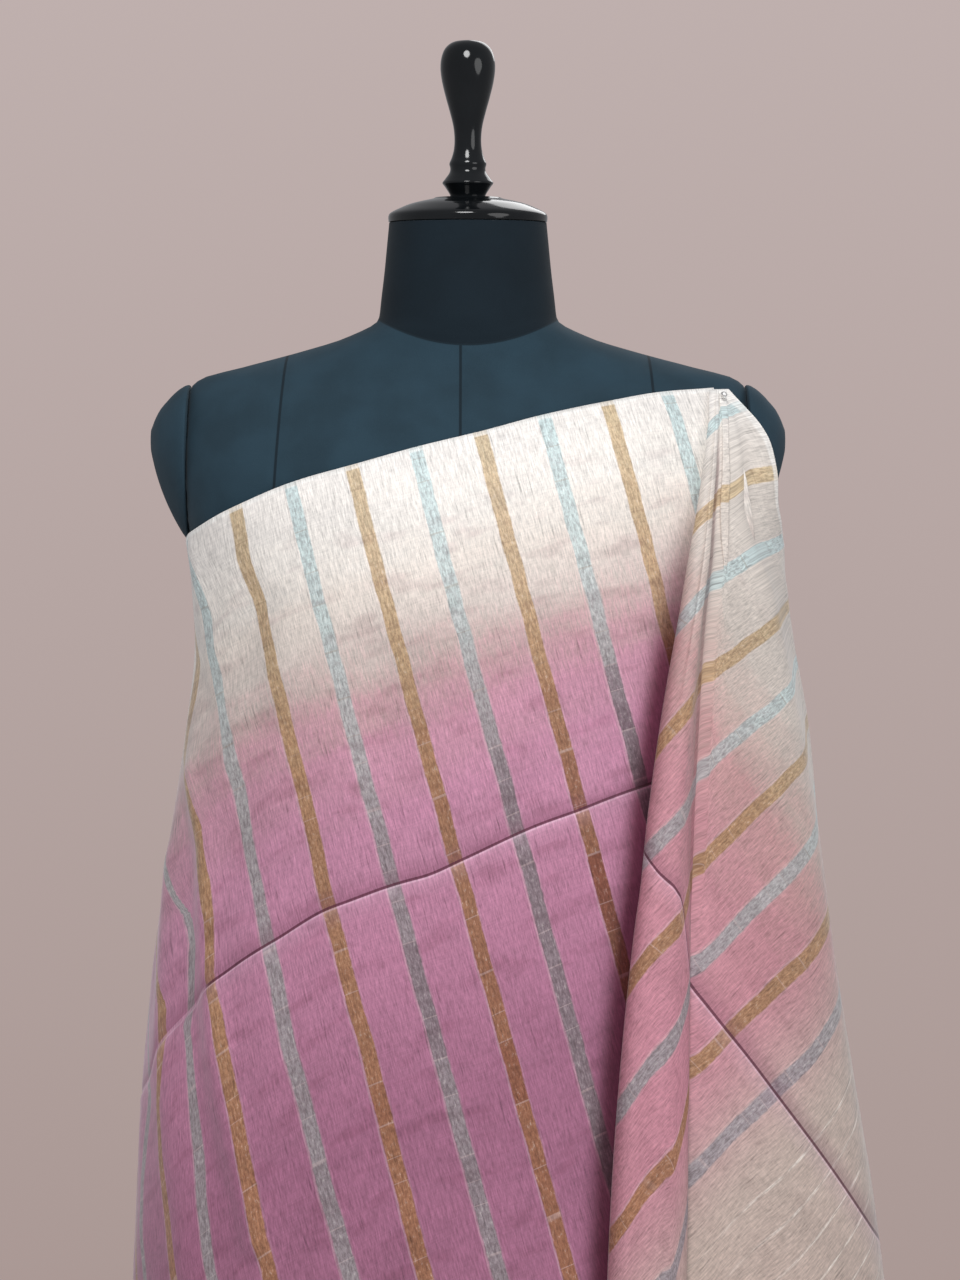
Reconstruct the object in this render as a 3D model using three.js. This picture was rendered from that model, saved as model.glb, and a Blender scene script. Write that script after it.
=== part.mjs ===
// Draped silk saree on a limbless dress form, in millimetres, +Z up, front towards -Y, floor at Z = 0
import * as THREE from 'three';

// Cloth
const CLOTH_WIDTH = 1120;
const WALL = 1.2;
const SEAM_GAP = 0.3;
const STORAGE_CREASE = 257;
const CREASE_DEPTH = 1.4;
const WEFT_LEAN = 0.2736;
const DROP_SHARE = 0.957;
const PIN_ALONG = 168;
const PIN_HEIGHT = 1397;
const SWEEP_END_ALONG = -430;
const FALL_LIFT = 1.4;
const HUG_SHARE = 0.55;
const SECTION_STEPS = 240;

// Dress form
const ARMHOLE_SIDE = 184;
const ARMHOLE_LOW = 1288;
const ARMHOLE_HIGH = 1404;
const FORM_BOTTOM = 780;
const NECK_TOP = 1505;
const POLE_RADIUS = 16;
const BASE_RADIUS = 170;
const BASE_THICKNESS = 14;
const FORM_SIDES = 44;

// Levels of the dress form: half width, depth in front, depth behind, roundness of the outline
const FORM = table(['height', 'side', 'front', 'back', 'roundness'], [
  [780, 165, 115, 120, 2.3],
  [860, 176, 122, 129, 2.3],
  [960, 152, 110, 112, 2.2],
  [1050, 126, 92, 88, 2.1],
  [1120, 140, 104, 95, 2.2],
  [1190, 163, 122, 108, 2.4],
  [1245, 175, 130, 113, 2.4],
  [1296, 183, 119, 116, 2.4],
  [1320, 191, 110, 116, 2.2],
  [1346, 196, 98, 113, 2.2],
  [1375, 192, 82, 103, 2.0],
  [1392, 187, 70, 92, 1.8],
  [1402, 178, 62, 84, 1.6],
  [1411, 146, 59, 76, 1.55],
  [1420, 112, 57, 70, 1.6],
  [1430, 80, 56, 63, 1.8],
  [1442, 58, 56, 58, 2],
  [1470, 55.5, 55, 55.5, 2],
  [1505, 55, 54.5, 54.5, 2],
]);
const FORM_LEVELS = [
  780, 820, 870, 930, 990, 1050, 1100, 1150, 1190, 1220, 1245, 1270, 1288, 1304, 1322, 1340, 1358, 1376, 1390, 1398,
  1404, 1411, 1419, 1430, 1442, 1460, 1505,
];

// Outer drape: half widths left and right, depths in front and behind, roundness
const DRAPE = table(['height', 'left', 'right', 'front', 'back', 'roundness'], [
  [15, 250, 312, 220, 218, 2.1],
  [150, 247, 310, 214, 212, 2.1],
  [300, 243, 304, 207, 203, 2.1],
  [500, 238, 296, 195, 186, 2.1],
  [700, 232, 283, 178, 162, 2.1],
  [842, 226, 266, 165, 144, 2.15],
  [930, 220.5, 251, 157, 133, 2.15],
  [1018, 211, 236, 150, 123, 2.2],
  [1093, 199.5, 226, 144, 117, 2.2],
  [1168, 188.5, 215.5, 139, 114, 2.25],
  [1228, 182, 205, 135.5, 116, 2.3],
  [1256, 183, 202.5, 133.5, 118, 2.35],
  [1296, 187, 205, 123, 120, 2.4],
  [1323, 194, 214, 114, 119, 2.3],
  [1346, 199, 222, 103, 116, 2.2],
  [1375, 194, 212, 88, 106, 2.0],
  [1392, 187, 190, 76, 95, 1.8],
  [1400, 178, 178, 71, 88, 1.8],
]);

// First round of the skirt: half width and depths
const SKIRT = table(['height', 'side', 'front', 'back'], [
  [14, 240, 206, 206],
  [150, 232, 198, 197],
  [300, 224, 187, 186],
  [500, 212, 167, 167],
  [700, 198, 146, 148],
  [860, 184, 131, 138],
  [960, 163, 120, 121],
  [1045, 136, 102, 98],
]);

// Upper selvedge of the front sweep: place along the level section and height
const SWEEP_TOP = table(['along', 'height'], [
  [-430, 1224],
  [-400, 1240],
  [-350, 1264],
  [-300, 1282],
  [-254, 1290],
  [-200, 1305],
  [-153, 1323],
  [-111, 1339],
  [-68, 1351],
  [-32, 1361],
  [10, 1371],
  [47, 1380.5],
  [87, 1388.4],
  [131, 1395],
  [168, 1397],
]);
const SWEEP_COLUMNS = [
  -430, -404, -378, -352, -328, -306, -290, -276, -263, -251, -239, -228, -217, -206, -195, -183, -169, -153,
  -133, -111, -89, -66, -40, -12, 16, 44, 72, 98, 122, 146, 168,
];
const SWEEP_ROWS = [
  0, 22, 50, 80, 112, 146, 180, 212, 236, 249, STORAGE_CREASE, 265, 284, 322, 364, 412, 470, 540, 620, 710, 810, 920,
  1030, CLOTH_WIDTH,
];

// How far below the upper selvedge the storage crease hangs
const CREASE_DROP = table(['along', 'drop'], [
  [-430, 349],
  [-344, 342],
  [-317, 327],
  [-295, 314],
  [-276, 302],
  [-240, 282],
  [-196, 268],
  [-152, 260],
  [-97, 260],
  [-70, 256],
  [-6, 246],
  [51, 242],
  [168, 236],
]);

// Main folds of the front sweep: height out of the cloth, half breadth, and the line as along and height
const FOLDS = [
  { out: 3.2, breadth: 13, line: [[-203, 1290], [-199, 1271], [-187, 1234], [-187, 1200]] },
  { out: -4.2, breadth: 17, line: [[-140, 1262], [-158, 1218], [-190, 1196]] },
  { out: 5.5, breadth: 12, line: [[-212, 1146], [-184, 1105], [-180, 1040], [-176, 1015], [-163, 945], [-140, 860]] },
  { out: -4.5, breadth: 13, line: [[-222, 1120], [-204, 1085], [-200, 1030], [-192, 975], [-178, 900]] },
  { out: 3, breadth: 16, line: [[-244, 1080], [-232, 1000], [-214, 900], [-180, 780]] },
  { out: -2.5, breadth: 26, line: [[-56, 1246], [-44, 1200]] },
  { out: -2.5, breadth: 26, line: [[62, 1225], [72, 1180]] },
  { out: 5, breadth: 30, line: [[-120, 620], [-40, 330], [-10, 220]] },
  { out: 6, breadth: 34, line: [[-270, 560], [-215, 300], [-190, 180]] },
  { out: -5, breadth: 30, line: [[-190, 600], [-125, 330], [-100, 200]] },
  { out: 6, breadth: 36, line: [[-370, 600], [-330, 300], [-315, 160]] },
  { out: 5, breadth: 30, line: [[190, 640], [250, 420], [280, 300]] },
];

// Fall from the shoulder: places along the section of the fold, the tuck and the free selvedge
const FALL_LINES = table(['height', 'fold', 'tuck', 'edge', 'tucked', 'fullness', 'ripple', 'hug'], [
  [80, 75, 130, 640, 1, 1, 1, 0],
  [300, 76, 130, 640, 1, 1, 1, 0],
  [500, 79, 130, 630, 1, 1, 1, 0],
  [700, 83, 132, 600, 1, 1, 1, 0],
  [790, 85, 133, 573, 1, 1, 1, 0],
  [853, 87, 134, 548, 1, 1, 1, 0],
  [914, 90, 135, 523, 0.9, 1, 1, 0],
  [992, 96, 136.5, 489, 0.66, 1, 1, 0],
  [1058, 103, 138, 460, 0.3, 1, 1, 0],
  [1090, 107.5, 138.5, 443, 0.06, 1, 1, 0],
  [1125, 111, 139.5, 424, 0, 1, 0.9, 0],
  [1190, 120, 143, 378, 0, 1, 0.6, 0],
  [1256, 132, 148, 314, 0, 1, 0.2, 0.1],
  [1290, 138, 152, 258, 0, 1, 0, 0.5],
  [1302, 140.5, 153, 237, 0, 0.96, 0, 0.7],
  [1323, 145, 155, 216, 0, 0.85, 0, 0.8],
  [1346, 149.5, 158, 208.5, 0, 0.72, 0, 0.8],
  [1363, 153, 160, 204, 0, 0.62, 0, 0.8],
  [1385, 158, 164, 188, 0, 0.52, 0, 0.8],
  [1397, 161, 166.5, 178, 0, 0.5, 0, 0.8],
]);

// Section of the fall: cloth angle at the pin, place between two lines, shift and layer, loose and tucked
const FALL_SECTION = rows(
  ['angle', 'from', 'to', 'share', 'shift', 'layer', 'tuckShift', 'tuckLayer', 'ripple'],
  [
    [15, 'start', 'fold', 0, 0, 4, 0, 4, 0],
    [17.8, 'start', 'fold', 0.12, 0, 4, 0, 4, 0],
    [20.5, 'start', 'fold', 0.24, 0, 4, 0, 4, 0],
    [23.2, 'start', 'fold', 0.36, 0, 4, 0, 4, 0],
    [26, 'start', 'fold', 0.48, 0, 4, 0, 4, 0],
    [28.6, 'start', 'fold', 0.6, 0, 4, 0, 4, 0],
    [31.3, 'start', 'fold', 0.74, 0, 4, 0, 4, 0],
    [35, 'fold', 'tuck', 0, 16, 4.1, 16, 4.1, 0],
    [36.6, 'fold', 'tuck', 0, 6, 4.4, 6, 4.4, 0],
    [37.2, 'fold', 'tuck', 0, 1.6, 5.6, 1.6, 5.6, 0],
    [37.5, 'fold', 'tuck', 0, 0, 8.6, 0, 8.6, 0],
    [38, 'fold', 'tuck', 0, 1.4, 12, 1.4, 13, 0],
    [39, 'fold', 'tuck', 0, 5.5, 15.6, 5.5, 17.6, 0],
    [41, 'fold', 'tuck', 0.36, 0, 17.8, 0, 20.6, 0],
    [43, 'fold', 'tuck', 0.62, 0, 16.8, 0, 20.4, 0],
    [45, 'fold', 'tuck', 0.86, -1, 14.2, -1, 18, 0],
    [46.2, 'tuck', 'edge', 0, -1, 12.6, 0.2, 15.6, 0],
    [46.8, 'tuck', 'edge', 0, 1, 11.8, 0.6, 13.6, 0],
    [47.4, 'tuck', 'edge', 0, 3, 11.2, -1.4, 12.2, 0],
    [50, 'tuck', 'edge', 0, 5.5, 10.6, -13.5, 11.4, 0],
    [50.6, 'tuck', 'edge', 0, 8, 10.2, -16, 10, 0],
    [51.2, 'tuck', 'edge', 0, 10.5, 9.8, -13.5, 8.6, 0],
    [54, 'tuck', 'edge', 0, 13, 9.4, 4, 8.2, 0],
    [56.5, 'tuck', 'edge', 0.1, 0, 9, 0, 8.6, 0],
    [59.5, 'tuck', 'edge', 0.19, 0, 9, 0, 9, 0],
    [62.5, 'tuck', 'edge', 0.28, 0, 10.5, 0, 11, 0],
    [65.5, 'tuck', 'edge', 0.37, 0, 12, 0, 13, 0],
    [68.5, 'tuck', 'edge', 0.46, 0, 9, 0, 9.4, 0],
    [71.5, 'tuck', 'edge', 0.55, 0, 8, 0, 8, 2],
    [74.5, 'tuck', 'edge', 0.64, 0, 8, 0, 8, 9],
    [78, 'tuck', 'edge', 0.73, 0, 8, 0, 8, 3],
    [82, 'tuck', 'edge', 0.82, 0, 8, 0, 8, 1],
    [86, 'tuck', 'edge', 0.91, 0, 8, 0, 8, 8],
    [90, 'tuck', 'edge', 1, 0, 8, 0, 8, 3],
  ],
);

// Lower border of the fall, by cloth angle at the pin
const FALL_BOTTOM = table(['angle', 'height'], [
  [15, 280],
  [23, 190],
  [31.3, 90],
  [34, 180],
  [37.5, 285],
  [45, 425],
  [52, 540],
  [60, 640],
  [68, 703],
  [76, 747],
  [84, 777],
  [90, 792],
]);
const FALL_DROPS = [
  0, 0.018, 0.04, 0.066, 0.096, 0.13, 0.168, 0.21, 0.256, 0.306, 0.36, 0.42, 0.485, 0.555, 0.63, 0.71, 0.8, 0.9, 1,
];

// Back wrap: share of the way from the left seam, round the back, to the pleats
const BACK_WRAP = table(['share', 'top', 'bottom'], [
  [0, 1224, 152.16],
  [0.2, 1172, 110],
  [0.4, 1112, 74],
  [0.6, 1066, 40],
  [0.78, 1049, 20],
  [1, 1046, 15],
]);
const BACK_WRAP_START = 74;
const BACK_WRAP_COLUMNS = 26;
const BACK_WRAP_LIFT = 5;

// Front pleats: one pleat's section, repeated to the right
const PLEAT_COUNT = 7;
const PLEAT_PITCH = 19;
const PLEAT_LEFT = -84;
const PLEAT_LIFT = 1.5;
const PLEAT_SECTION = rows(['place', 'layer'], [
  [0, 0.5],
  [9, 1.6],
  [17, 5.2],
  [30, 7.2],
  [33, 6.4],
  [32, 4.7],
  [20.5, 3.6],
]);
const PLEAT_SPREAD = table(['height', 'spread', 'depth'], [
  [14, 1.12, 1.3],
  [500, 1, 1.1],
  [1040, 0.66, 0.8],
]);
const PLEAT_LEVELS = [1040, 1000, 940, 840, 680, 480, 250, 14];

const SKIRT_COLUMNS = 44;
const SKIRT_LEVELS = [1045, 1000, 940, 840, 680, 480, 250, 14];

const colours = {
  form: '#2c3a45',
  cap: '#0c0f12',
  pole: '#1b1d20',
  cream: '#e0d8cc',
  mauve: '#b98ba6',
  rose: '#c8969b',
  pin: '#a9a9ac',
};

// Smooth reading of a table between its rows
function table(names, lines) {
  const rise = (i, column) => (lines[i + 1][column] - lines[i][column]) / (lines[i + 1][0] - lines[i][0]);
  const tangent = (i, column) => {
    if (i === 0) return rise(0, column);
    if (i === lines.length - 1) return rise(i - 1, column);
    const before = rise(i - 1, column);
    const after = rise(i, column);
    return before * after <= 0 ? 0 : (2 * before * after) / (before + after);
  };
  return (name, key) => {
    const column = names.indexOf(name);
    const held = Math.min(Math.max(key, lines[0][0]), lines[lines.length - 1][0]);
    let i = 0;
    while (i < lines.length - 2 && held > lines[i + 1][0]) i += 1;
    const span = lines[i + 1][0] - lines[i][0];
    const t = (held - lines[i][0]) / span;
    const ease = t * t * (3 - 2 * t);
    const value = lines[i][column] * (1 - ease) + lines[i + 1][column] * ease;
    const lead = tangent(i, column) * span * t * (1 - t) * (1 - t);
    return value + lead - tangent(i + 1, column) * span * t * t * (1 - t);
  };
}

function rows(names, lines) {
  return lines.map((line) => Object.fromEntries(names.map((name, i) => [name, line[i]])));
}

// Point of a rounded outline at an angle from the front middle
function outlinePoint(size, angle) {
  const power = 2 / size.roundness;
  const across = Math.sin(angle);
  const ahead = Math.cos(angle);
  const half = across >= 0 ? size.right : size.left;
  const front = across >= 0 ? size.front : (size.frontLeft ?? size.front);
  const back = across >= 0 ? (size.backRight ?? size.back) : size.back;
  const depth = ahead >= 0 ? front : back;
  return new THREE.Vector2(
    half * Math.sign(across) * Math.abs(across) ** power,
    -depth * Math.sign(ahead) * Math.abs(ahead) ** power,
  );
}

// Level section read by the length along it from the front middle, towards the right
function section(size) {
  const points = [];
  for (let i = 0; i <= SECTION_STEPS; i += 1) {
    points.push(outlinePoint(size, (2 * Math.PI * i) / SECTION_STEPS));
  }
  const lengths = [0];
  for (let i = 1; i < points.length; i += 1) lengths.push(lengths[i - 1] + points[i].distanceTo(points[i - 1]));
  const total = lengths[lengths.length - 1];
  const at = (along, out = 0) => {
    const place = along < 0 ? along + total : along;
    let i = 0;
    while (i < SECTION_STEPS - 1 && lengths[i + 1] < place) i += 1;
    const t = (place - lengths[i]) / (lengths[i + 1] - lengths[i]);
    const point = points[i].clone().lerp(points[i + 1], t);
    const before = points[Math.max(i - 2, 0)];
    const after = points[Math.min(i + 3, SECTION_STEPS)];
    const run = after.clone().sub(before).normalize();
    return new THREE.Vector2(point.x + run.y * out, point.y - run.x * out);
  };
  return { total, at };
}

const drapeSection = (height) => section({
  left: DRAPE('left', height),
  right: DRAPE('right', height),
  front: DRAPE('front', height),
  back: DRAPE('back', height),
  backRight: DRAPE('back', height) + 8,
  roundness: DRAPE('roundness', height),
});

const skirtSection = (height) => section({
  left: SKIRT('side', height),
  right: SKIRT('side', height),
  front: SKIRT('front', height),
  back: SKIRT('back', height),
  roundness: 2.1,
});

const backWrapSection = (height) => section({
  left: DRAPE('left', height),
  right: SKIRT('side', height) + BACK_WRAP_LIFT,
  front: SKIRT('front', height) + BACK_WRAP_LIFT,
  frontLeft: DRAPE('front', height),
  back: DRAPE('back', height),
  roundness: DRAPE('roundness', height),
});

const raised = (point, height) => new THREE.Vector3(point.x, point.y, height);

// Closed thin wall on both sides of a grid of points, columns towards the right and rows downwards
function clothWall(grid, round = false) {
  const columns = grid.length;
  const levels = grid[0].length;
  const near = (i) => (round ? (i + columns) % columns : Math.min(Math.max(i, 0), columns - 1));
  const level = (j) => Math.min(Math.max(j, 0), levels - 1);
  const positions = [];
  for (const side of [0.5, -0.5]) {
    for (let i = 0; i < columns; i += 1) {
      for (let j = 0; j < levels; j += 1) {
        const across = grid[near(i + 1)][j].clone().sub(grid[near(i - 1)][j]);
        const down = grid[i][level(j + 1)].clone().sub(grid[i][level(j - 1)]);
        const normal = down.cross(across).normalize();
        positions.push(...grid[i][j].clone().addScaledVector(normal, side * WALL).toArray());
      }
    }
  }
  const outer = (i, j) => (i % columns) * levels + j;
  const inner = (i, j) => outer(i, j) + columns * levels;
  const faces = [];
  const quad = (a, b, c, d) => faces.push(a, b, c, a, c, d);
  for (let i = 0; i < (round ? columns : columns - 1); i += 1) {
    for (let j = 0; j < levels - 1; j += 1) {
      quad(outer(i, j), outer(i, j + 1), outer(i + 1, j + 1), outer(i + 1, j));
      quad(inner(i, j), inner(i + 1, j), inner(i + 1, j + 1), inner(i, j + 1));
    }
    const last = levels - 1;
    quad(outer(i, 0), outer(i + 1, 0), inner(i + 1, 0), inner(i, 0));
    quad(outer(i + 1, last), outer(i, last), inner(i, last), inner(i + 1, last));
  }
  if (!round) {
    const end = columns - 1;
    for (let j = 0; j < levels - 1; j += 1) {
      quad(outer(0, j + 1), outer(0, j), inner(0, j), inner(0, j + 1));
      quad(outer(end, j), outer(end, j + 1), inner(end, j + 1), inner(end, j));
    }
  }
  return geometry(positions, faces);
}

// Closed solid through level rings, with flat ends
function lofted(rings) {
  const sides = rings[0].length;
  const positions = rings.flat().flatMap((point) => point.toArray());
  const middle = (ring) => ring.reduce((sum, point) => sum.add(point), new THREE.Vector3()).divideScalar(sides);
  positions.push(...middle(rings[0]).toArray(), ...middle(rings[rings.length - 1]).toArray());
  const first = rings.length * sides;
  const top = (rings.length - 1) * sides;
  const faces = [];
  for (let i = 0; i < sides; i += 1) {
    const next = (i + 1) % sides;
    for (let j = 0; j < rings.length - 1; j += 1) {
      const low = j * sides;
      const high = low + sides;
      faces.push(low + i, low + next, high + next, low + i, high + next, high + i);
    }
    faces.push(first, next, i, first + 1, top + i, top + next);
  }
  return geometry(positions, faces);
}

function geometry(positions, faces) {
  const shape = new THREE.BufferGeometry();
  shape.setAttribute('position', new THREE.Float32BufferAttribute(positions, 3));
  shape.setIndex(faces);
  shape.computeVertexNormals();
  return shape;
}

// Turned solid from radius and height pairs, standing on Z
function turned(profile, sides) {
  const shape = new THREE.LatheGeometry(profile.map(([radius, height]) => new THREE.Vector2(radius, height)), sides);
  return shape.rotateX(Math.PI / 2);
}

// Distance from a point to a line of short pieces
function lineDistance(line, along, height) {
  const point = new THREE.Vector3(along, height, 0);
  let nearest = Infinity;
  for (let i = 0; i < line.length - 1; i += 1) {
    const piece = new THREE.Line3(new THREE.Vector3(...line[i], 0), new THREE.Vector3(...line[i + 1], 0));
    const foot = piece.closestPointToPoint(point, true, new THREE.Vector3());
    nearest = Math.min(nearest, foot.distanceTo(point));
  }
  return nearest;
}

function foldRelief(along, height) {
  return FOLDS.reduce((sum, fold) => {
    const distance = lineDistance(fold.line, along, height);
    return sum + fold.out * Math.exp(-((distance / fold.breadth) ** 2));
  }, 0);
}

// Drop of a row of the cloth below its upper selvedge, with the storage crease where it hangs
function clothDrop(start, row) {
  const crease = CREASE_DROP('drop', start);
  if (row <= STORAGE_CREASE) return (row * crease) / STORAGE_CREASE;
  return crease + ((row - STORAGE_CREASE) * (CLOTH_WIDTH - crease)) / (CLOTH_WIDTH - STORAGE_CREASE);
}

// Front sweep, hanging from its upper selvedge along the weft
function frontSweep() {
  return clothWall(SWEEP_COLUMNS.map((start) => SWEEP_ROWS.map((row) => {
    const fall = clothDrop(start, row) * DROP_SHARE;
    const height = SWEEP_TOP('height', start) - fall;
    const along = start + fall * WEFT_LEAN;
    const crease = row === STORAGE_CREASE ? -CREASE_DEPTH : 0;
    return raised(drapeSection(height).at(along, foldRelief(along, height) + crease), height);
  })));
}

// Fall from the pin: under layer, fold, rolled edge, tuck, plane, turn to the back and free selvedge
function shoulderFall() {
  return clothWall(FALL_SECTION.map((line) => FALL_DROPS.map((drop) => {
    const bottom = FALL_BOTTOM('height', line.angle);
    const height = PIN_HEIGHT - 1 - drop * (PIN_HEIGHT - 1 - bottom);
    const places = {
      start: PIN_ALONG + (PIN_HEIGHT - height) * WEFT_LEAN - 2,
      fold: FALL_LINES('fold', height),
      tuck: FALL_LINES('tuck', height),
      edge: FALL_LINES('edge', height),
    };
    const fullness = FALL_LINES('fullness', height);
    const tucked = FALL_LINES('tucked', height);
    const between = places[line.from] + (places[line.to] - places[line.from]) * line.share;
    const shift = line.shift + (line.tuckShift - line.shift) * tucked;
    const layer = line.layer + (line.tuckLayer - line.layer) * tucked;
    const ripple = line.ripple * FALL_LINES('ripple', height);
    const along = between + shift * fullness;
    const towardEdge = line.from === 'tuck' ? Math.min(line.share / HUG_SHARE, 1) : 0;
    const hug = 1 - FALL_LINES('hug', height) * towardEdge;
    const out = FALL_LIFT + layer * fullness * hug + ripple + foldRelief(along, height);
    return raised(drapeSection(height).at(along, out), height);
  })));
}

// Back wrap, from the seam with the front sweep, round the back and the right side, to the pleats
function backWrap() {
  const grid = [];
  for (let i = 0; i <= BACK_WRAP_COLUMNS; i += 1) {
    const share = 1 - i / BACK_WRAP_COLUMNS;
    const top = BACK_WRAP('top', share);
    const bottom = BACK_WRAP('bottom', share);
    grid.push(SWEEP_ROWS.map((row) => {
      const height = top - ((top - bottom) * clothDrop(SWEEP_END_ALONG, row)) / CLOTH_WIDTH;
      const level = backWrapSection(height);
      const seamTop = SWEEP_TOP('height', SWEEP_END_ALONG);
      const seam = level.total + SWEEP_END_ALONG - SEAM_GAP + (seamTop - height) * WEFT_LEAN;
      const along = seam + (BACK_WRAP_START - seam) * share;
      return raised(level.at(along, foldRelief(along - level.total, height)), height);
    }));
  }
  return clothWall(grid);
}

function skirtWrap() {
  const grid = [];
  for (let i = 0; i < SKIRT_COLUMNS; i += 1) {
    grid.push(SKIRT_LEVELS.map((height) => {
      const level = skirtSection(height);
      return raised(level.at((level.total * i) / SKIRT_COLUMNS), height);
    }));
  }
  return clothWall(grid, true);
}

function frontPleats() {
  const grid = [];
  for (let pleat = 0; pleat < PLEAT_COUNT; pleat += 1) {
    for (const line of PLEAT_SECTION) {
      grid.push(PLEAT_LEVELS.map((height) => {
        const along = (PLEAT_LEFT + pleat * PLEAT_PITCH + line.place) * PLEAT_SPREAD('spread', height);
        const out = PLEAT_LIFT + line.layer * PLEAT_SPREAD('depth', height);
        return raised(skirtSection(height).at(along, out), height);
      }));
    }
  }
  return clothWall(grid);
}

function formTorso() {
  return lofted(FORM_LEVELS.map((height) => {
    const size = {
      left: FORM('side', height),
      right: FORM('side', height),
      front: FORM('front', height),
      back: FORM('back', height),
      roundness: FORM('roundness', height),
    };
    const ring = [];
    for (let i = 0; i < FORM_SIDES; i += 1) {
      const point = outlinePoint(size, (2 * Math.PI * i) / FORM_SIDES);
      if (height > ARMHOLE_LOW && height < ARMHOLE_HIGH) {
        point.x = Math.min(Math.max(point.x, -ARMHOLE_SIDE), ARMHOLE_SIDE);
      }
      ring.push(raised(point, height));
    }
    return ring;
  }));
}

// Padded arm cap on the flat armhole: ring share of the full oval and bulge
const CAP_RINGS = rows(['share', 'bulge', 'rise'], [
  [0.97, 0.3, 0],
  [1, 2.4, 0],
  [0.94, 5.5, 1.5],
  [0.82, 10.5, 4],
  [0.67, 15.5, 6.5],
  [0.51, 20, 9.5],
  [0.34, 23.5, 12],
  [0.16, 26.3, 14.5],
]);
const CAP_HALF_HEIGHT = 53.5;
const CAP_HALF_DEPTH = 44;
const CAP_MIDDLE = 1348;
const CAP_SIDES = 28;

function armCap(side) {
  const rings = CAP_RINGS.map((line) => {
    const ring = [];
    for (let i = 0; i < CAP_SIDES; i += 1) {
      const angle = (side * 2 * Math.PI * i) / CAP_SIDES;
      ring.push(new THREE.Vector3(
        side * (ARMHOLE_SIDE + line.bulge),
        CAP_HALF_DEPTH * line.share * Math.cos(angle),
        CAP_MIDDLE + line.rise + CAP_HALF_HEIGHT * line.share * Math.sin(angle),
      ));
    }
    return ring;
  });
  return lofted(rings);
}

// Neck cap and turned finial, as radius and height
const NECK_CAP = [
  [0, 1505.4], [52.4, 1505.4], [53.2, 1506.4], [53.2, 1511.4], [51.5, 1512.4], [40, 1513.6], [31, 1515.6],
  [25, 1518.4], [21.5, 1521.6], [0, 1521.6],
];
const FINIAL = [
  [0, 1522], [11.5, 1522], [12.2, 1524], [15.2, 1528.6], [16.8, 1531], [15.2, 1533.4], [12.2, 1537.6],
  [11.6, 1540.6], [12.2, 1543.6], [10.6, 1547.6], [9.2, 1553], [8.8, 1560], [9.6, 1568], [11.8, 1577],
  [14.6, 1587], [17, 1597], [18, 1605.5], [17, 1612], [13.4, 1618.2], [7, 1622.4], [0, 1623.7],
];
const BASE = [
  [0, 0], [BASE_RADIUS - 1.5, 0], [BASE_RADIUS, 1.5], [BASE_RADIUS, BASE_THICKNESS - 5],
  [BASE_RADIUS - 3, BASE_THICKNESS - 1.2], [BASE_RADIUS - 8, BASE_THICKNESS], [0, BASE_THICKNESS],
];
const POLE = [
  [0, BASE_THICKNESS + 0.3], [30, BASE_THICKNESS + 0.3], [30, 24], [22, 34], [POLE_RADIUS, 42],
  [POLE_RADIUS, FORM_BOTTOM - 12], [34, FORM_BOTTOM - 8], [34, FORM_BOTTOM - 0.3], [0, FORM_BOTTOM - 0.3],
];

const PIN_RADIUS = 2.2;
const PIN_LAYER = 12.4;

function pinHead() {
  return new THREE.SphereGeometry(PIN_RADIUS, 12, 8);
}

const saree = new THREE.Group();
saree.name = 'silk_saree_on_dress_form';

function add(name, shape, colour, roughness, metalness = 0) {
  const mesh = new THREE.Mesh(shape, new THREE.MeshStandardMaterial({ color: colour, roughness, metalness }));
  mesh.name = name;
  saree.add(mesh);
  return mesh;
}

add('form_base', turned(BASE, 48), colours.pole, 0.4, 0.6);
add('form_pole', turned(POLE, 20), colours.pole, 0.35, 0.7);
add('form_torso', formTorso(), colours.form, 0.95);
add('form_arm_cap_left', armCap(1), colours.form, 0.95);
add('form_arm_cap_right', armCap(-1), colours.form, 0.95);
add('form_neck_cap', turned(NECK_CAP, 32), colours.cap, 0.2);
add('form_finial', turned(FINIAL, 20), colours.cap, 0.2);
add('saree_skirt_wrap', skirtWrap(), colours.mauve, 0.5);
add('saree_front_pleats', frontPleats(), colours.mauve, 0.5);
add('saree_back_wrap', backWrap(), colours.mauve, 0.5);
add('saree_front_sweep', frontSweep(), colours.mauve, 0.5);
add('saree_shoulder_fall', shoulderFall(), colours.rose, 0.5);
const pin = add('shoulder_pin', pinHead(), colours.pin, 0.3, 0.8);
pin.position.copy(raised(drapeSection(PIN_HEIGHT - 4).at(PIN_ALONG - 2, PIN_LAYER), PIN_HEIGHT - 4));

export default saree;
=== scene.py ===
import math

import bpy
import numpy as np
from bpy.props import FloatProperty, FloatVectorProperty, IntProperty, PointerProperty
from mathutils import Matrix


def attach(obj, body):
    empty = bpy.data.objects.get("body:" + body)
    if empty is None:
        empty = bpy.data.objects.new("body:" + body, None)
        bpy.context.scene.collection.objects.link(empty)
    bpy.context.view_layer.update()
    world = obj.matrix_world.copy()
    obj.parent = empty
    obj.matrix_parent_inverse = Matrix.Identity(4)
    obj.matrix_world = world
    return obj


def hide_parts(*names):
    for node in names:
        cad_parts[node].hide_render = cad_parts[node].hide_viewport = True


bl_info = {
    "name": "Draped silk saree",
    "version": (1, 0, 0),
    "blender": (4, 5, 0),
    "location": "3D Viewport > Sidebar > Saree",
    "description": "Builds a striped, shaded silk saree draped round a limbless dress form on its stand",
    "category": "Add Mesh",
}

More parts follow.
